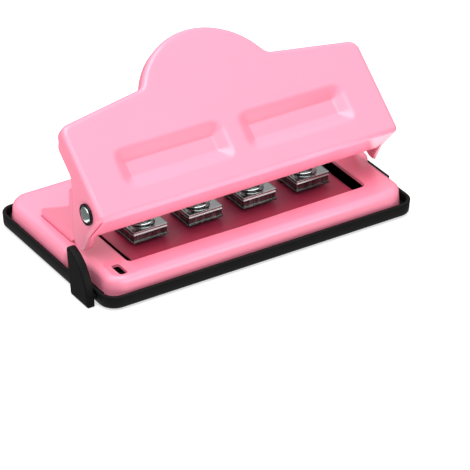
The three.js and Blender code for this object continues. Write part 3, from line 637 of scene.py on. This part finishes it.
def rear_line(cols, half, bend):
    """Rear border of the flat panel at each column, with its normals: the plan moved in by the bend."""
    plan, normal = rounded(handle_corners(half), 0.1, 90)
    inner = plan - bend * normal
    side_end = 36.7
    rear = (normal[:, 1] > 1e-6) | ((normal[:, 0] ** 2 > 0.999) & (plan[:, 1] > side_end))
    order = np.argsort(inner[rear, 0])
    at, line, *across = np.concatenate([inner[rear], normal[rear]], 1)[order].T
    n = np.stack([np.interp(cols, at, part) for part in across], -1)
    n = n / np.linalg.norm(n, axis=1)[:, None]
    n[0], n[-1] = (-1, 0), (1, 0)
    return np.interp(cols, at, line), n


def wall_loops(bx, bs, n, side, bend, corner):
    """From the panel's border B with normal n the loops are B + k·n at depth w: the bend, the wall down to
    its own depth, a round free edge, and the inner wall and bend. A groove as deep as the seam stands
    between the front wall and each flange."""
    lug_return, return_radius = 1.105, 0.8
    seam_depth, seam_angle, seam_reach, seam_end = 0.75, 36.0, 6.5, 17.0
    ahead = n[:, 1] < -1e-6
    beside = np.clip((side - corner - np.abs(bx)) / return_radius, 0, 1)
    full = lug_depth(np.clip(bs + bend * n[:, 1], 0, None))
    full = full - return_radius * ahead * (1 - np.sqrt(1 - beside ** 2))
    full = np.where(ahead & (np.abs(bx) < side - lug_return), WALL_DEPTH, full)
    swing = np.degrees(np.arctan2(np.abs(n[:, 0]), -n[:, 1]))
    seam = np.where(ahead, seam_depth * (np.abs(swing - seam_angle) < seam_reach), 0.0)
    edge, inner_bend = full - SHEET_EDGE, bend - SHEET
    loops = []

    def ring(k, w):
        """One loop, B + k·n at depth w, with the lean of the toe."""
        s = bs + k * n[:, 1]
        loops.append(handle_place(bx + k * n[:, 0], s - toe_lean(s, w), w + 0 * bx))

    for a in np.radians([0, 12, 26, 40, 54, 68, 80, 90]):
        ring(bend * math.sin(a), bend * (1 - math.cos(a)))
    for v in np.linspace(0, 1, 12)[1:]:
        w = bend + v * (edge - bend)
        ring(bend - seam * smooth((w - bend) / 0.6) * smooth((seam_end - w) / 0.8), w)
    for a in np.radians([20, 45, 70, 90, 110, 135, 160, 180]):
        ring(bend - SHEET_EDGE * (1 - math.cos(a)), edge + SHEET_EDGE * math.sin(a))
    for v in np.linspace(0, 1, 6)[1:]:
        ring(inner_bend, edge + v * (bend - edge))
    for a in np.radians([68, 45, 22, 0]):
        ring(inner_bend * math.sin(a), SHEET + inner_bend * (1 - math.cos(a)))
    return np.stack(loops)


def handle_shell(half, bend, depth):
    """One closed sheet. The panel is a grid between its front line and its rear line, joined by the bent
    walls to a second panel one sheet lower."""
    side, corner = half - bend, 0.3
    cols = panel_columns(side, corner)
    front_y, front_n = front_line(cols, side, corner)
    rear_y, rear_n = rear_line(cols, half, bend)
    start, parting = 2.0, 30.0
    lower = knots([(0.0, 0.6), (8.3, 0.3), (10.7, 0.7), (14.5, 0.22), (15.7, 0.7), (20.2, 0.22), (21.4, 0.7),
                   (25.0, 0.3), (27.4, 0.8), (parting, 0.8)])
    lower = (np.concatenate([[start], lower[lower > start]]) - start) / (parting - start)
    upper = np.linspace(0, 1, 27)[1:]
    s = np.concatenate([front_y + (parting - front_y) * lower[:, None],
                        parting + (rear_y - parting) * upper[:, None]])
    x = np.broadcast_to(cols, s.shape)
    fall = pocket(x, s, depth)
    rows, count = s.shape
    face, under = (handle_place(x, s, w).reshape(-1, 3) for w in (fall, fall + SHEET))
    flat = cells(rows, count, closed_cols=False)
    grid = np.arange(rows * count).reshape(rows, count)
    border = np.concatenate([grid[0], grid[1:, -1], grid[-1, -2::-1], grid[-2:0:-1, 0]])
    side_n = np.repeat([[1.0, 0.0]], rows - 2, 0)
    n = np.concatenate([front_n, side_n, rear_n[::-1], -side_n])
    loops = wall_loops(x.reshape(-1)[border], s.reshape(-1)[border], n, side, bend, corner)
    wall = cells(len(loops), len(border))
    return [(face, flat.tolist()), (under, flat[:, ::-1].tolist()),
            (loops.reshape(-1, 3), wall[:, ::-1].tolist())]


class HandleOperator(bpy.types.Operator):
    """Pressed handle: a panel with two pockets, bent walls, flanges and the two pivot lugs"""
    bl_idname = "disc_punch.handle"
    bl_label = "Handle"

    def execute(self, context):
        sizes = context.scene.disc_punch_sizes
        shells = handle_shell(sizes.handle_width / MM / 2, sizes.handle_bend / MM, sizes.pocket_depth / MM)
        finish_piece(object_of("handle_skin", shells), "pink_enamel", "handle", ["handle"], 45.0)
        return {"FINISHED"}


# Base cover

def cover_corners():
    """Plan of the cover's wall: narrower in front, where the lugs of the handle swing."""
    front, rear, step_front, step_back = 68.7, 72.0, -9.6, -8.2
    return [(-front, COVER_FRONT, 8.0), (front, COVER_FRONT, 8.0), (front, step_front, 2.0),
            (rear, step_back, 3.2), (rear, COVER_BACK, 9.5), (-rear, COVER_BACK, 9.5),
            (-rear, step_back, 3.2), (-front, step_front, 2.0)]


def dish(x, y):
    """Two shallow steps round the sight window: each falls 0.44 over 0.6, the second 1.4 further in."""
    half_width, half_length, corner = 4.7, 6.2, 3.0
    fall, run, ledge = 0.44, 0.6, 1.4
    ax = half_width - np.abs(x - WINDOW_X)
    ay = half_length - np.abs(y - WINDOW_Y)
    inside = corner - np.hypot(np.clip(corner - ax, 0, None), np.clip(corner - ay, 0, None))
    return fall * smooth(inside / run) + fall * smooth((inside - ledge) / run)


def cover_shell(edge):
    """One closed sheet through loops: up the flared outer wall, round the upper edge, over the deck to
    the opening, round its rim, and back underneath. A deck loop is (1 - u)·outer + u·opening."""
    outline, n = rounded(cover_corners(), 0.5, 14)
    hole, _ = rounded(box_corners(-OPENING_X, OPENING_X, OPENING_FRONT, OPENING_BACK, 2.0), 0.2, 24)
    middle = np.array([0.0, (OPENING_FRONT + OPENING_BACK) / 2])
    start = outline - edge * n
    rim = matched(start, hole, middle)
    away = (rim - middle) / np.linalg.norm(rim - middle, axis=1)[:, None]
    shoulder, foot = DECK_Z - edge, COVER_BOTTOM + SHEET_EDGE
    inner_edge, flared, rim_round = edge - SHEET, 0.5, 0.5
    loops = []

    def add(flat, z, dished=0.0):
        """One loop at height z, lowered where the dish is if it is dished."""
        drop = dished * dish(flat[:, 0], flat[:, 1])
        loops.append(np.concatenate([flat, (z - drop + 0 * flat[:, 0])[:, None]], 1))

    def flare(z):
        """Outward lean of the wall, from nothing at the shoulder to its full share at the foot."""
        return flared * np.clip((shoulder - z) / (shoulder - COVER_BOTTOM), 0, 1)

    for a in np.radians([180, 215, 250, 270, 290, 325]):
        add(outline + (flared - SHEET_EDGE * (1 - math.cos(a))) * n, foot + SHEET_EDGE * math.sin(a))
    for z in np.linspace(foot, shoulder, 7):
        add(outline + flare(z) * n, z)
    for a in np.radians([10, 20, 30, 40, 50, 60, 70, 80]):
        add(outline - edge * (1 - math.cos(a)) * n, shoulder + edge * math.sin(a))
    for u in np.linspace(0, 0.98, 28):
        add(start + u * (rim - start), DECK_Z, 1.0)
    for a in np.radians([0, 30, 60, 90, 120, 150, 180]):
        add(rim + away * rim_round * (1 - math.sin(a)), DECK_Z - SHEET_EDGE * (1 - math.cos(a)))
    for u in np.linspace(0.96, 0, 14):
        add(start + u * (rim - start), DECK_Z - SHEET, 1.0)
    for a in np.radians([75, 60, 45, 30, 15, 0]):
        add(outline - (SHEET + inner_edge * (1 - math.cos(a))) * n, shoulder + inner_edge * math.sin(a))
    for z in np.linspace(shoulder, foot, 5)[1:-1]:
        add(outline + (flare(z) - SHEET) * n, z)
    return through(np.stack(loops), ring=True)


class CoverOperator(bpy.types.Operator):
    """Drawn base cover with its opening, sight window, ear slots and the notch for the guide bar"""
    bl_idname = "disc_punch.cover"
    bl_label = "Base cover"

    def execute(self, context):
        edge = context.scene.disc_punch_sizes.cover_edge / MM
        thing = object_of("base_cover", [cover_shell(edge)])
        half_width, half_length, slot_gap = 1.8, 3.8, 0.3
        window = box_corners(WINDOW_X - half_width, WINDOW_X + half_width,
                             WINDOW_Y - half_length, WINDOW_Y + half_length, 1.0)
        notch = box_corners(-80, -64.5, BAR_NOTCH_FRONT, BAR_NOTCH_BACK, 0.0)
        deck_cut = [(6, 0), (16, 0)]
        tools = [slab(rounded(window, 0.4), deck_cut)]
        for side in (-1, 1):
            near, far = sorted([side * (EAR_NEAR - slot_gap), side * (EAR_FAR + slot_gap)])
            slot = box_corners(near, far, EAR_FRONT - slot_gap, EAR_BACK + slot_gap, 0.6)
            tools.append(slab(rounded(slot, 0.5), deck_cut))
        tools.append(slab(rounded(notch, 20.0), [(-1, 0), (4.5, 0)]))
        cut_away(thing, tools)
        finish_piece(thing, "pink_enamel", "base", ["base_shell"], 40.0)
        return {"FINISHED"}


def ear_outline():
    """Side view of an ear: boss round the pivot, crest, rear edge, low gusset and foot."""
    pivot = np.array([PIVOT_Y, PIVOT_Z])
    crest = np.array([PIVOT_Y + 12.25, PIVOT_Z + 3.4])
    foot = np.array([EAR_FRONT, DECK_Z])
    rear_y, foot_z = PIVOT_Y + 18.25, 9.3

    def tangent(point, side):
        """Angle on the boss at which a line from the point touches it: atan2 of the way there, plus or
        minus acos(r / distance)."""
        away = point - pivot
        return math.atan2(away[1], away[0]) + side * math.acos(EAR_BOSS / np.linalg.norm(away))

    start, end = tangent(crest, 1), tangent(foot, -1)
    boss = arc(pivot, EAR_BOSS, math.degrees(start), math.degrees(start + (end - start) % (2 * math.pi)), 40)
    rest, _ = rounded([(EAR_FRONT, foot_z, 0.0), (EAR_BACK, foot_z, 0.0), (EAR_BACK, 15.2, 2.0),
                       (rear_y + 2, 26.0, 2.0), (rear_y, 28.0, 1.0), (rear_y, PIVOT_Z + 1.9, 2.0),
                       (*crest, 2.0), (PIVOT_Y, PIVOT_Z + EAR_BOSS, 0.0), (PIVOT_Y - EAR_BOSS, PIVOT_Z, 0.0),
                       (*foot, 0.0)], 0.5)
    behind = rest[:, 0] > crest[0] - 0.6
    outside = (rest[:, 1] > DECK_Z) | (rest[:, 0] > EAR_FRONT) | (rest[:, 1] < foot_z + 0.1)
    points = np.concatenate([rest[behind & outside], boss, [foot]])
    gap = np.linalg.norm(np.roll(points, -1, 0) - points, axis=1)
    points = points[gap > 1e-3]
    return points, edge_normals(points)


class EarsOperator(bpy.types.Operator):
    """Two pivot ears that stand in slots of the cover, with rounded sheet edges and a foot under the deck"""
    bl_idname = "disc_punch.ears"
    bl_label = "Pivot ears"

    def execute(self, context):
        foot_end, foot_low, foot_high = 57.7, 9.25, 10.75
        for side, name in ((-1, "left"), (1, "right")):
            near, far = sorted([side * EAR_NEAR, side * EAR_FAR])
            plate = slab(ear_outline(), eased(near, far, 0.35), "X")
            ends = sorted([side * EAR_NEAR, side * foot_end])
            foot = slab(rounded(box_corners(*ends, EAR_FRONT, EAR_BACK, 1.0), 2.0),
                        eased(foot_low, foot_high, 0.3))
            thing = object_of(name + "_ear_plate", [plate, foot])
            finish_piece(thing, "pink_enamel", "base", [name + "_ear"])
        return {"FINISHED"}


class RivetsOperator(bpy.types.Operator):
    """Pivot rivets: a domed cap in a rim painted near-black as shade round the head, the shank, and the
    formed tail inside the ear
    """
    bl_idname = "disc_punch.rivets"
    bl_label = "Pivot rivets"

    def execute(self, context):
        # The dome has radius r·(cos a)^0.7 at height 1.1·sin a over its own edge
        tail, head, shank, cap, rise = 65.15, 69.0, 2.5, 3.36, 1.1
        profile = [(0, tail - 1.0), (1.2, tail - 1.1), (3.2, tail - 1.2), (3.6, tail - 1.0),
                   (3.7, tail - 0.7), (3.7, tail), (shank, tail), (shank, head + 0.2), (cap, head + 0.2)]
        a = np.radians(np.linspace(0, 90, 13))
        dome = np.stack([cap * np.cos(a) ** 0.7, head + 0.6 + rise * np.sin(a)], -1)
        dome[-1, 0] = 0.0
        rim = np.concatenate([[(3.3, head), (4.3, head), (4.4, head + 0.1), (4.4, head + 0.72)],
                              arc((4.15, head + 0.72), 0.25, 0, 90, 4), [(3.55, head + 0.97)],
                              [(3.4, head + 0.88), (3.38, head + 0.3), (3.3, head + 0.3), (3.3, head)]])
        parts = (("turned", np.concatenate([profile, dome]), "polished_plating"), ("rim", rim, "rivet_rim_painted_shade"))
        for side, name in ((-1, "left"), (1, "right")):
            for part, section, finish in parts:
                shell = turned(section, (0, PIVOT_Y, PIVOT_Z), "X", 72, side)
                thing = object_of(f"{name}_rivet_{part}", [shell])
                finish_piece(thing, finish, "base", [name + "_pivot_rivet"])
        return {"FINISHED"}


# Punching row

def mushroom(x, growth=0.0, spacing=0.4):
    """Section of a punch, or of a bore larger by a growth: a round-backed cap in front and a narrow stem."""
    cap, stem, round_front, small = 3.6 + growth, 1.2 + growth, 3.3 + growth, 0.3
    front, neck, back = PUNCH_Y - 4.0 - growth, PUNCH_Y + 0.2 + growth, PUNCH_Y + 4.4 + growth
    return rounded([(x - cap, front, round_front), (x + cap, front, round_front), (x + cap, neck, small),
                    (x + stem, neck, small), (x + stem, back, small), (x - stem, back, small),
                    (x - stem, neck, small), (x - cap, neck, small)], spacing, 8)


class BedOperator(bpy.types.Operator):
    """Punch bed: a plate bent from the deck's front edge down to the dies and up again behind them"""
    bl_idname = "disc_punch.bed"
    bl_label = "Punch bed"

    def execute(self, context):
        half, thickness, shelf_z = 52.3, 1.5, 10.75
        path = [(12.4, shelf_z, 0.0), (5.4, shelf_z, 1.0), (2.4, BED_Z, 2.2), (-26.55, BED_Z, 2.2),
                (-29.55, shelf_z, 1.0), (-35.05, shelf_z, 0.0)]
        outline = rounded(strip_corners(path, thickness), 1.0, 8)
        thing = object_of("punch_bed_plate", [slab(outline, eased(-half, half, 0.3), "X")])
        cut_away(thing, [slab(mushroom(x, RUNNING_GAP), [(4, 0), (12, 0)]) for x in PUNCH_X])
        # The bed takes the pink darkened and reddened as painted shade
        finish_piece(thing, "bed_enamel_painted_shade", "base", ["punch_bed"])
        return {"FINISHED"}


def guide_ring(x, rise):
    """A rounded rectangle carried up through (height, inset), then matched to the bore's outline across the
    top and carried back down inside: a loop there is (1 - u)·edge + u·bore."""
    half_width, half_depth = 8.1, 8.0
    outline, n = rounded(box_corners(x - half_width, x + half_width, PUNCH_Y - half_depth,
                                     PUNCH_Y + half_depth, 0.7), 0.5, 6)
    bore, _ = mushroom(x, RUNNING_GAP, 0.08)
    flat = [outline - inset * n for _, inset in rise]
    levels = [z for z, _ in rise]
    low, high, edge = levels[0], levels[-1], flat[-1]
    hole = matched(edge, bore, (x, PUNCH_Y - 0.1))
    for u, z in ((0.15, high), (0.6, high), (0.94, high), (1.0, high - 0.08), (1.0, low + 0.1), (1.0, low),
                 (0.5, low)):
        flat.append((1 - u) * edge + u * hole)
        levels.append(z)
    return through(np.stack([np.concatenate([p, np.full((len(p), 1), z)], 1) for p, z in zip(flat, levels)]),
                   ring=True)


class GuidesOperator(bpy.types.Operator):
    """Four punch guides: a plate on a waisted body with the paper throat in front of its leg"""
    bl_idname = "disc_punch.guides"
    bl_label = "Punch guides"

    def execute(self, context):
        roof, parting, waist = 10.6, 14.19, 0.5
        body = [(roof, 0.35), (10.66, 0.12), (10.75, 0.02), (10.9, 0.0), (11.2, 0.0), (11.32, 0.05),
                (11.4, 0.2), (11.42, 0.42), (11.6, waist), (14.0, waist), (parting, waist)]
        plate = [(parting, waist), (14.2, 0.25), (14.24, 0.08), (14.32, 0.0), (14.46, 0.0), (14.58, 0.06),
                 (14.66, 0.16), (14.74, 0.2), (15.5, 0.2), (15.62, 0.22), (15.68, 0.28), (GUIDE_TOP, 0.38)]
        leg_half, leg_front, leg_back = 7.6, PUNCH_Y + 4.25, PUNCH_Y + 7.5
        for i, x in enumerate(PUNCH_X, 1):
            leg = slab(rounded(box_corners(x - leg_half, x + leg_half, leg_front, leg_back, 0.4), 1.0, 5),
                       eased(BED_Z + 0.05, roof, 0.15, 3))
            block = object_of(f"guide_block_{i}", [guide_ring(x, body), leg])
            # The body takes the plating darkened as painted shade
            finish_piece(block, "guide_plating_painted_shade", "base", [f"punch_guide_{i}"])
            top = object_of(f"guide_plate_{i}", [guide_ring(x, plate)])
            finish_piece(top, "plate_plating", "base", [f"punch_guide_{i}"])
        return {"FINISHED"}


class PunchesOperator(bpy.types.Operator):
    """Four punches: a cutting section under a round head with turned edges"""
    bl_idname = "disc_punch.punches"
    bl_label = "Punches"

    def execute(self, context):
        rim, edge, groove, tip = 5.45, 0.45, 0.12, 11.15
        head = np.concatenate([
            [(0, HEAD_UNDER)], arc((rim, HEAD_UNDER + edge), edge, -90, 0, 5),
            arc((rim, HEAD_TOP - edge), edge, 0, 90, 5),
            [(4.6, HEAD_TOP), (4.3, HEAD_TOP - groove), (1.6, HEAD_TOP - groove), (1.3, HEAD_TOP),
             (0, HEAD_TOP)]])
        shaft_profile = [(tip, 0.05), (tip + 0.05, 0), (HEAD_UNDER + 0.4, 0), (HEAD_UNDER + 0.45, 0.05)]
        for i, x in enumerate(PUNCH_X, 1):
            shaft = slab(mushroom(x), shaft_profile)
            thing = object_of(f"punch_turned_{i}", [turned(head, (x, PUNCH_Y, 0)), shaft])
            finish_piece(thing, "bare_steel", f"punch_{i}", [f"punch_{i}"])
        return {"FINISHED"}


def coil(x, wire, turns=4.5):
    """Helix (R cos a, R sin a, z(a)) whose height eases at both ends into closed turns, with a round wire
    of radius r about it: R + r cos b outwards and z + r sin b."""
    radius, gap, closed = 5.25, 0.06, 0.62
    a = np.linspace(0, 2 * math.pi * turns, int(turns * 40) + 1)
    b = np.linspace(0, 2 * math.pi, 14, endpoint=False)
    low, high = GUIDE_TOP + gap + wire, HEAD_UNDER - gap - wire
    t = a / (2 * math.pi)
    lift = np.clip((t - closed) / (turns - 2 * closed), 0, 1)
    z = low + (high - low) * (0.06 * t / turns + 0.94 * (0.7 * lift + 0.3 * smooth(lift)))
    out = radius + wire * np.cos(b)
    return through(np.stack([x + out * np.cos(a)[:, None], PUNCH_Y + out * np.sin(a)[:, None],
                             z[:, None] + wire * np.sin(b)], -1))


class SpringsOperator(bpy.types.Operator):
    """Four return springs of round wire, each flattened between its guide and its punch head"""
    bl_idname = "disc_punch.springs"
    bl_label = "Return springs"

    def execute(self, context):
        wire = context.scene.disc_punch_sizes.wire_radius / MM
        for i, x in enumerate(PUNCH_X, 1):
            thing = object_of(f"spring_coil_{i}", [coil(x, wire)])
            finish_piece(thing, "polished_plating", "base", [f"return_spring_{i}"], 60.0)
            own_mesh(thing)
        return {"FINISHED"}


# Chip tray and paper guide

def tray_corners():
    """Plan of the tray's outer wall: it follows the cover, with a step where the cover turns narrower."""
    front, rear, front_y, back_y, step_y = 72.3, 74.4, -42.0, 42.0, -19.9
    return [(-front, front_y, 7.0), (front, front_y, 7.0), (front, step_y, 0.8), (rear, step_y, 0.8),
            (rear, back_y, 7.0), (-rear, back_y, 7.0), (-rear, step_y, 0.8), (-front, step_y, 0.8)]


def tray_profile():
    """(height, inset) round the foot, up the drafted outer wall, over the lip and down to the floor."""
    foot_z, foot_inset, foot_radius = 0.7, 0.4, 0.6
    round_foot = arc((0, 0), 1.0, 180, 270, 5)[::-1]
    low = np.stack([foot_z + foot_radius * (1 + round_foot[:, 1]),
                    foot_inset + foot_radius * (1 + round_foot[:, 0])], -1)
    wall = [(1.4, 0.36), (3.5, 0.2), (5.5, 0.03)]
    lip = [(5.8, 0.03), (5.98, 0.12), (6.08, 0.3), (6.1, 0.5), (6.1, 1.1), (6.08, 1.3), (5.98, 1.48),
           (5.8, 1.58)]
    inner = [(5.5, 1.6), (3.0, 1.66), (2.6, 1.76), (2.35, 1.95), (2.22, 2.25), (2.2, 2.6), (2.2, 2.8)]
    return np.concatenate([[(foot_z, 1.3)], low, wall, lip, inner])


class TrayOperator(bpy.types.Operator):
    """Chip tray with its rounded lip, the rails of the guide bar, and four rubber feet"""
    bl_idname = "disc_punch.tray"
    bl_label = "Chip tray"

    def execute(self, context):
        floor_z, rail_start, rail_end, rail_width, rail_top = 2.2, -66.0, -26.0, 1.2, 4.6
        tray = object_of("chip_dish", [slab(rounded(tray_corners(), 1.2, 10), tray_profile())])
        notch = box_corners(-78, -69.5, BAR_NOTCH_FRONT, BAR_NOTCH_BACK, 0.0)
        cut_away(tray, [slab(rounded(notch, 20.0), [(floor_z, 0), (4.5, 0)])])
        shells = []
        for y in (BAR_NOTCH_FRONT - rail_width, BAR_NOTCH_BACK):
            plan = rounded(box_corners(rail_start, rail_end, y, y + rail_width, 0.3), 2.0, 4)
            shells.append(slab(plan, eased(floor_z, rail_top, 0.25, 3)))
        rails = object_of("chip_dish_rails", shells)
        for thing in (tray, rails):
            finish_piece(thing, "moulded_plastic", "tray", ["chip_tray"])
        foot = np.concatenate([[(0, 0.12), (4.6, 0.12), (4.9, 0.0)], arc((5.7, 0.3), 0.3, -90, 0, 4),
                               [(6.0, 1.33), (5.9, 1.35), (0, 1.35)]])
        places = [(x, y) for x in (-57.3, 57.3) for y in (-27.0, 27.0)]
        for i, (x, y) in enumerate(places, 1):
            pad = object_of(f"foot_pad_{i}", [turned(foot, (x, y, 0), steps=56)])
            finish_piece(pad, "foot_rubber", "tray", [f"tray_foot_{i}"])
        return {"FINISHED"}


def bezier(points, steps):
    """Curve sum of C(n,k)·(1-t)^(n-k)·t^k·P_k."""
    points = np.asarray(points, float)
    n = len(points) - 1
    t = np.linspace(0, 1, steps + 1)[:, None]
    return sum(math.comb(n, k) * (1 - t) ** (n - k) * t ** k * points[k] for k in range(n + 1))


def fin_outline():
    """Side view of the paper guide's fin: a long curved front edge, a short crown and a straight back."""
    front_y, back_y, heel_y, foot_z, top_z, shoulder_z = -34.4, -18.7, -21.5, 0.3, 20.5, 19.2
    depth = back_y - front_y
    crest = (front_y + depth * 0.88, top_z)
    front = bezier([(front_y, foot_z), (front_y + depth * 0.02, foot_z + top_z * 0.5),
                    (front_y + depth * 0.34, foot_z + top_z * 0.87), crest], 40)
    crown = bezier([crest, (back_y, top_z), (back_y, shoulder_z)], 8)
    back = np.linspace((back_y, shoulder_z), (heel_y, foot_z), 24)
    points = np.concatenate([front, crown[1:], back[1:]])[::-1]
    return points, edge_normals(points)


class PaperGuideOperator(bpy.types.Operator):
    """Paper guide: an upright fin with rounded edges on a flat bar that slides in the tray"""
    bl_idname = "disc_punch.paper_guide"
    bl_label = "Paper guide"

    def execute(self, context):
        outer_face, inner_face, bar_start, bar_end = -77.0, -73.4, -75.2, 49.6
        fin = slab(fin_outline(), eased(outer_face, inner_face, 0.7, 5), "X")
        section = rounded(box_corners(-33.0, -23.0, 2.5, 4.2, 0.4), 1.0, 4)
        bar = slab(section, eased(bar_start, bar_end, 0.4), "X")
        thing = object_of("paper_fin", [fin, bar])
        finish_piece(thing, "moulded_plastic", "guide", ["paper_guide"])
        return {"FINISHED"}


# Stage

def standing(x, y, z, place):
    """World matrix whose columns are the three axes and the place."""
    return Matrix([[x[k], y[k], z[k], place[k]] for k in range(3)] + [[0, 0, 0, 1]])


class StageOperator(bpy.types.Operator):
    """Pale floor, white surroundings, soft lights and the camera"""
    bl_idname = "disc_punch.stage"
    bl_label = "Stage"

    def execute(self, context):
        scene = context.scene
        half = scene.disc_punch_sizes.stage_width / 2
        mesh = bpy.data.meshes.new("floor")
        below = -1e-4
        corners = [(x, y, below) for x, y, _ in box_corners(-half, half, -half, half, 0)]
        mesh.from_pydata(corners, [], [(0, 1, 2, 3)])
        floor = bpy.data.objects.new("floor", mesh)
        scene.collection.objects.link(floor)
        floor.visible_glossy = False
        material, nodes, links, shader, source = blank("floor_matt")
        cloud = speckle(nodes, links, source, 3.0, 2.0)
        colour = np.array(scene.disc_punch_colours.floor)
        links.new(tint(nodes, links, cloud, colour * 0.995, np.clip(colour * 1.005, 0, 1)),
                  shader.inputs["Base Color"])
        shader.inputs["Roughness"].default_value = 0.9
        shader.inputs["Specular IOR Level"].default_value = 0.2
        shader.inputs["Emission Color"].default_value = (1.0, 1.0, 1.0, 1.0)
        shader.inputs["Emission Strength"].default_value = 0.60
        mesh.materials.append(material)
        world = bpy.data.worlds.new("surroundings")
        scene.world = world
        world.use_nodes = True
        self.sky(world.node_tree, ((0.0, 1.4), (0.15, 1.2), (0.20, 0.20), (0.50, 0.16), (0.70, 0.32),
                                   (0.80, 1.0), (1.0, 1.55)))
        part = (0.0, 0.0, 0.02)
        self.lamp(scene, "top", (-0.12, -0.04, 0.98), part, (0.8, 0.8), 7.1)
        side = self.lamp(scene, "side", (-0.75, -0.10, 0.46), part, (0.22, 0.22), 0.75)
        side.data.color = (0.84, 0.90, 1.0)
        bounce = self.lamp(scene, "front_bounce", (0.0, -0.056, 0.012), (0.0, -0.024, 0.040), (0.13, 0.02),
                           0.010, 80.0)
        bounce.visible_glossy = False
        card = self.lamp(scene, "guide_glint", (0.0, -0.110, 0.034), (0.0, -0.018, 0.016), (0.18, 0.04),
                         0.07)
        card.visible_diffuse = False
        self.camera(scene)
        scene.view_settings.view_transform = "Standard"
        scene.view_settings.look = "None"
        scene.view_settings.exposure = 0.0
        scene.view_settings.gamma = 1.0
        return {"FINISHED"}

    def sky(self, tree, stops):
        """Soft surroundings whose brightness goes with the height of the direction, from straight down at 0
        to straight up at 1, darkest round the horizon."""
        place = tree.nodes.new("ShaderNodeTexCoord")
        height = tree.nodes.new("ShaderNodeSeparateXYZ")
        span = tree.nodes.new("ShaderNodeMapRange")
        span.inputs["From Min"].default_value = -1.0
        ramp = tree.nodes.new("ShaderNodeValToRGB")
        steps = ramp.color_ramp.elements
        while len(steps) < len(stops):
            steps.new(0.5)
        for step, (where, level) in zip(steps, stops):
            step.position = where
            step.color = (level, level, level, 1.0)
        tree.links.new(place.outputs["Generated"], height.inputs["Vector"])
        tree.links.new(height.outputs["Z"], span.inputs["Value"])
        tree.links.new(span.outputs["Result"], ramp.inputs["Fac"])
        tree.links.new(ramp.outputs["Color"], tree.nodes["Background"].inputs["Color"])

    def lamp(self, scene, name, place, target, size, power, spread=180.0):
        """A rectangular lamp turned from its place to a target, its sides level and its power in watts."""
        data = bpy.data.lights.new(name, "AREA")
        data.shape = "RECTANGLE"
        data.size, data.size_y = size
        data.energy = power
        data.spread = math.radians(spread)
        thing = bpy.data.objects.new(name, data)
        thing.visible_camera = False
        away = np.array(place) - np.array(target)
        away = away / np.linalg.norm(away)
        side = np.cross((0, 0, 1), away)
        side = side / np.linalg.norm(side)
        up = np.cross(away, side)
        thing.matrix_world = standing(side, up, away, place)
        scene.collection.objects.link(thing)
        return thing

    def camera(self, scene):
        """A long lens seen from the left and above: forward is (-sin a·cos e, cos a·cos e, -sin e). The
        focal length and the place of the aim in the frame are in pixels, and the scale is in pixels per
        millimetre."""
        a, e, roll = math.radians(-32.8), math.radians(30.95), math.radians(0.5)
        frame_width, film_width = 470.0, 36.0
        focal, scale, aim_right, aim_up = 3400.0, 2.527, -1.55, 32.84
        aim = np.array([MIDDLE, -17.85, 15.7])
        ahead = np.array([-math.sin(a) * math.cos(e), math.cos(a) * math.cos(e), -math.sin(e)])
        right = np.array([math.cos(a), math.sin(a), 0.0])
        up = np.cross(right, ahead)
        side = math.cos(roll) * right + math.sin(roll) * up
        top = -math.sin(roll) * right + math.cos(roll) * up
        place = (aim - (aim_right * side + aim_up * top + focal * ahead) / scale) * MM
        data = bpy.data.cameras.new("camera")
        data.sensor_width = film_width
        data.lens = film_width * focal / frame_width
        data.clip_end = 20.0
        thing = bpy.data.objects.new("camera", data)
        thing.matrix_world = standing(side, top, -ahead, place)
        scene.collection.objects.link(thing)
        scene.camera = thing


PIECES = (
    FinishesOperator, HandleOperator, CoverOperator, EarsOperator, RivetsOperator, BedOperator,
    GuidesOperator, PunchesOperator, SpringsOperator, TrayOperator, PaperGuideOperator, StageOperator,
)


class PunchPanel(bpy.types.Panel):
    """Lists the sizes, the colours and the pieces"""
    bl_idname = "VIEW3D_PT_disc_punch"
    bl_label = "Disc binding punch"
    bl_space_type = "VIEW_3D"
    bl_region_type = "UI"
    bl_category = "Punch"

    def draw(self, context):
        for group in (context.scene.disc_punch_sizes, context.scene.disc_punch_colours):
            box = self.layout.box()
            for name in group.bl_rna.properties.keys():
                if name not in ("rna_type", "name"):
                    box.prop(group, name)
        for piece in PIECES:
            self.layout.operator(piece.bl_idname)


def register():
    for kind in (PunchSizes, PunchColours, *PIECES, PunchPanel):
        bpy.utils.register_class(kind)
    bpy.types.Scene.disc_punch_sizes = bpy.props.PointerProperty(type=PunchSizes)
    bpy.types.Scene.disc_punch_colours = bpy.props.PointerProperty(type=PunchColours)


def unregister():
    del bpy.types.Scene.disc_punch_colours
    del bpy.types.Scene.disc_punch_sizes
    for kind in (PunchPanel, *PIECES[::-1], PunchColours, PunchSizes):
        bpy.utils.unregister_class(kind)


def main():
    """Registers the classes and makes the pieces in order."""
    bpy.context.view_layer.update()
    register()
    for piece in PIECES:
        group, name = piece.bl_idname.split(".")
        getattr(getattr(bpy.ops, group), name)()


if __name__ == "__main__":
    main()
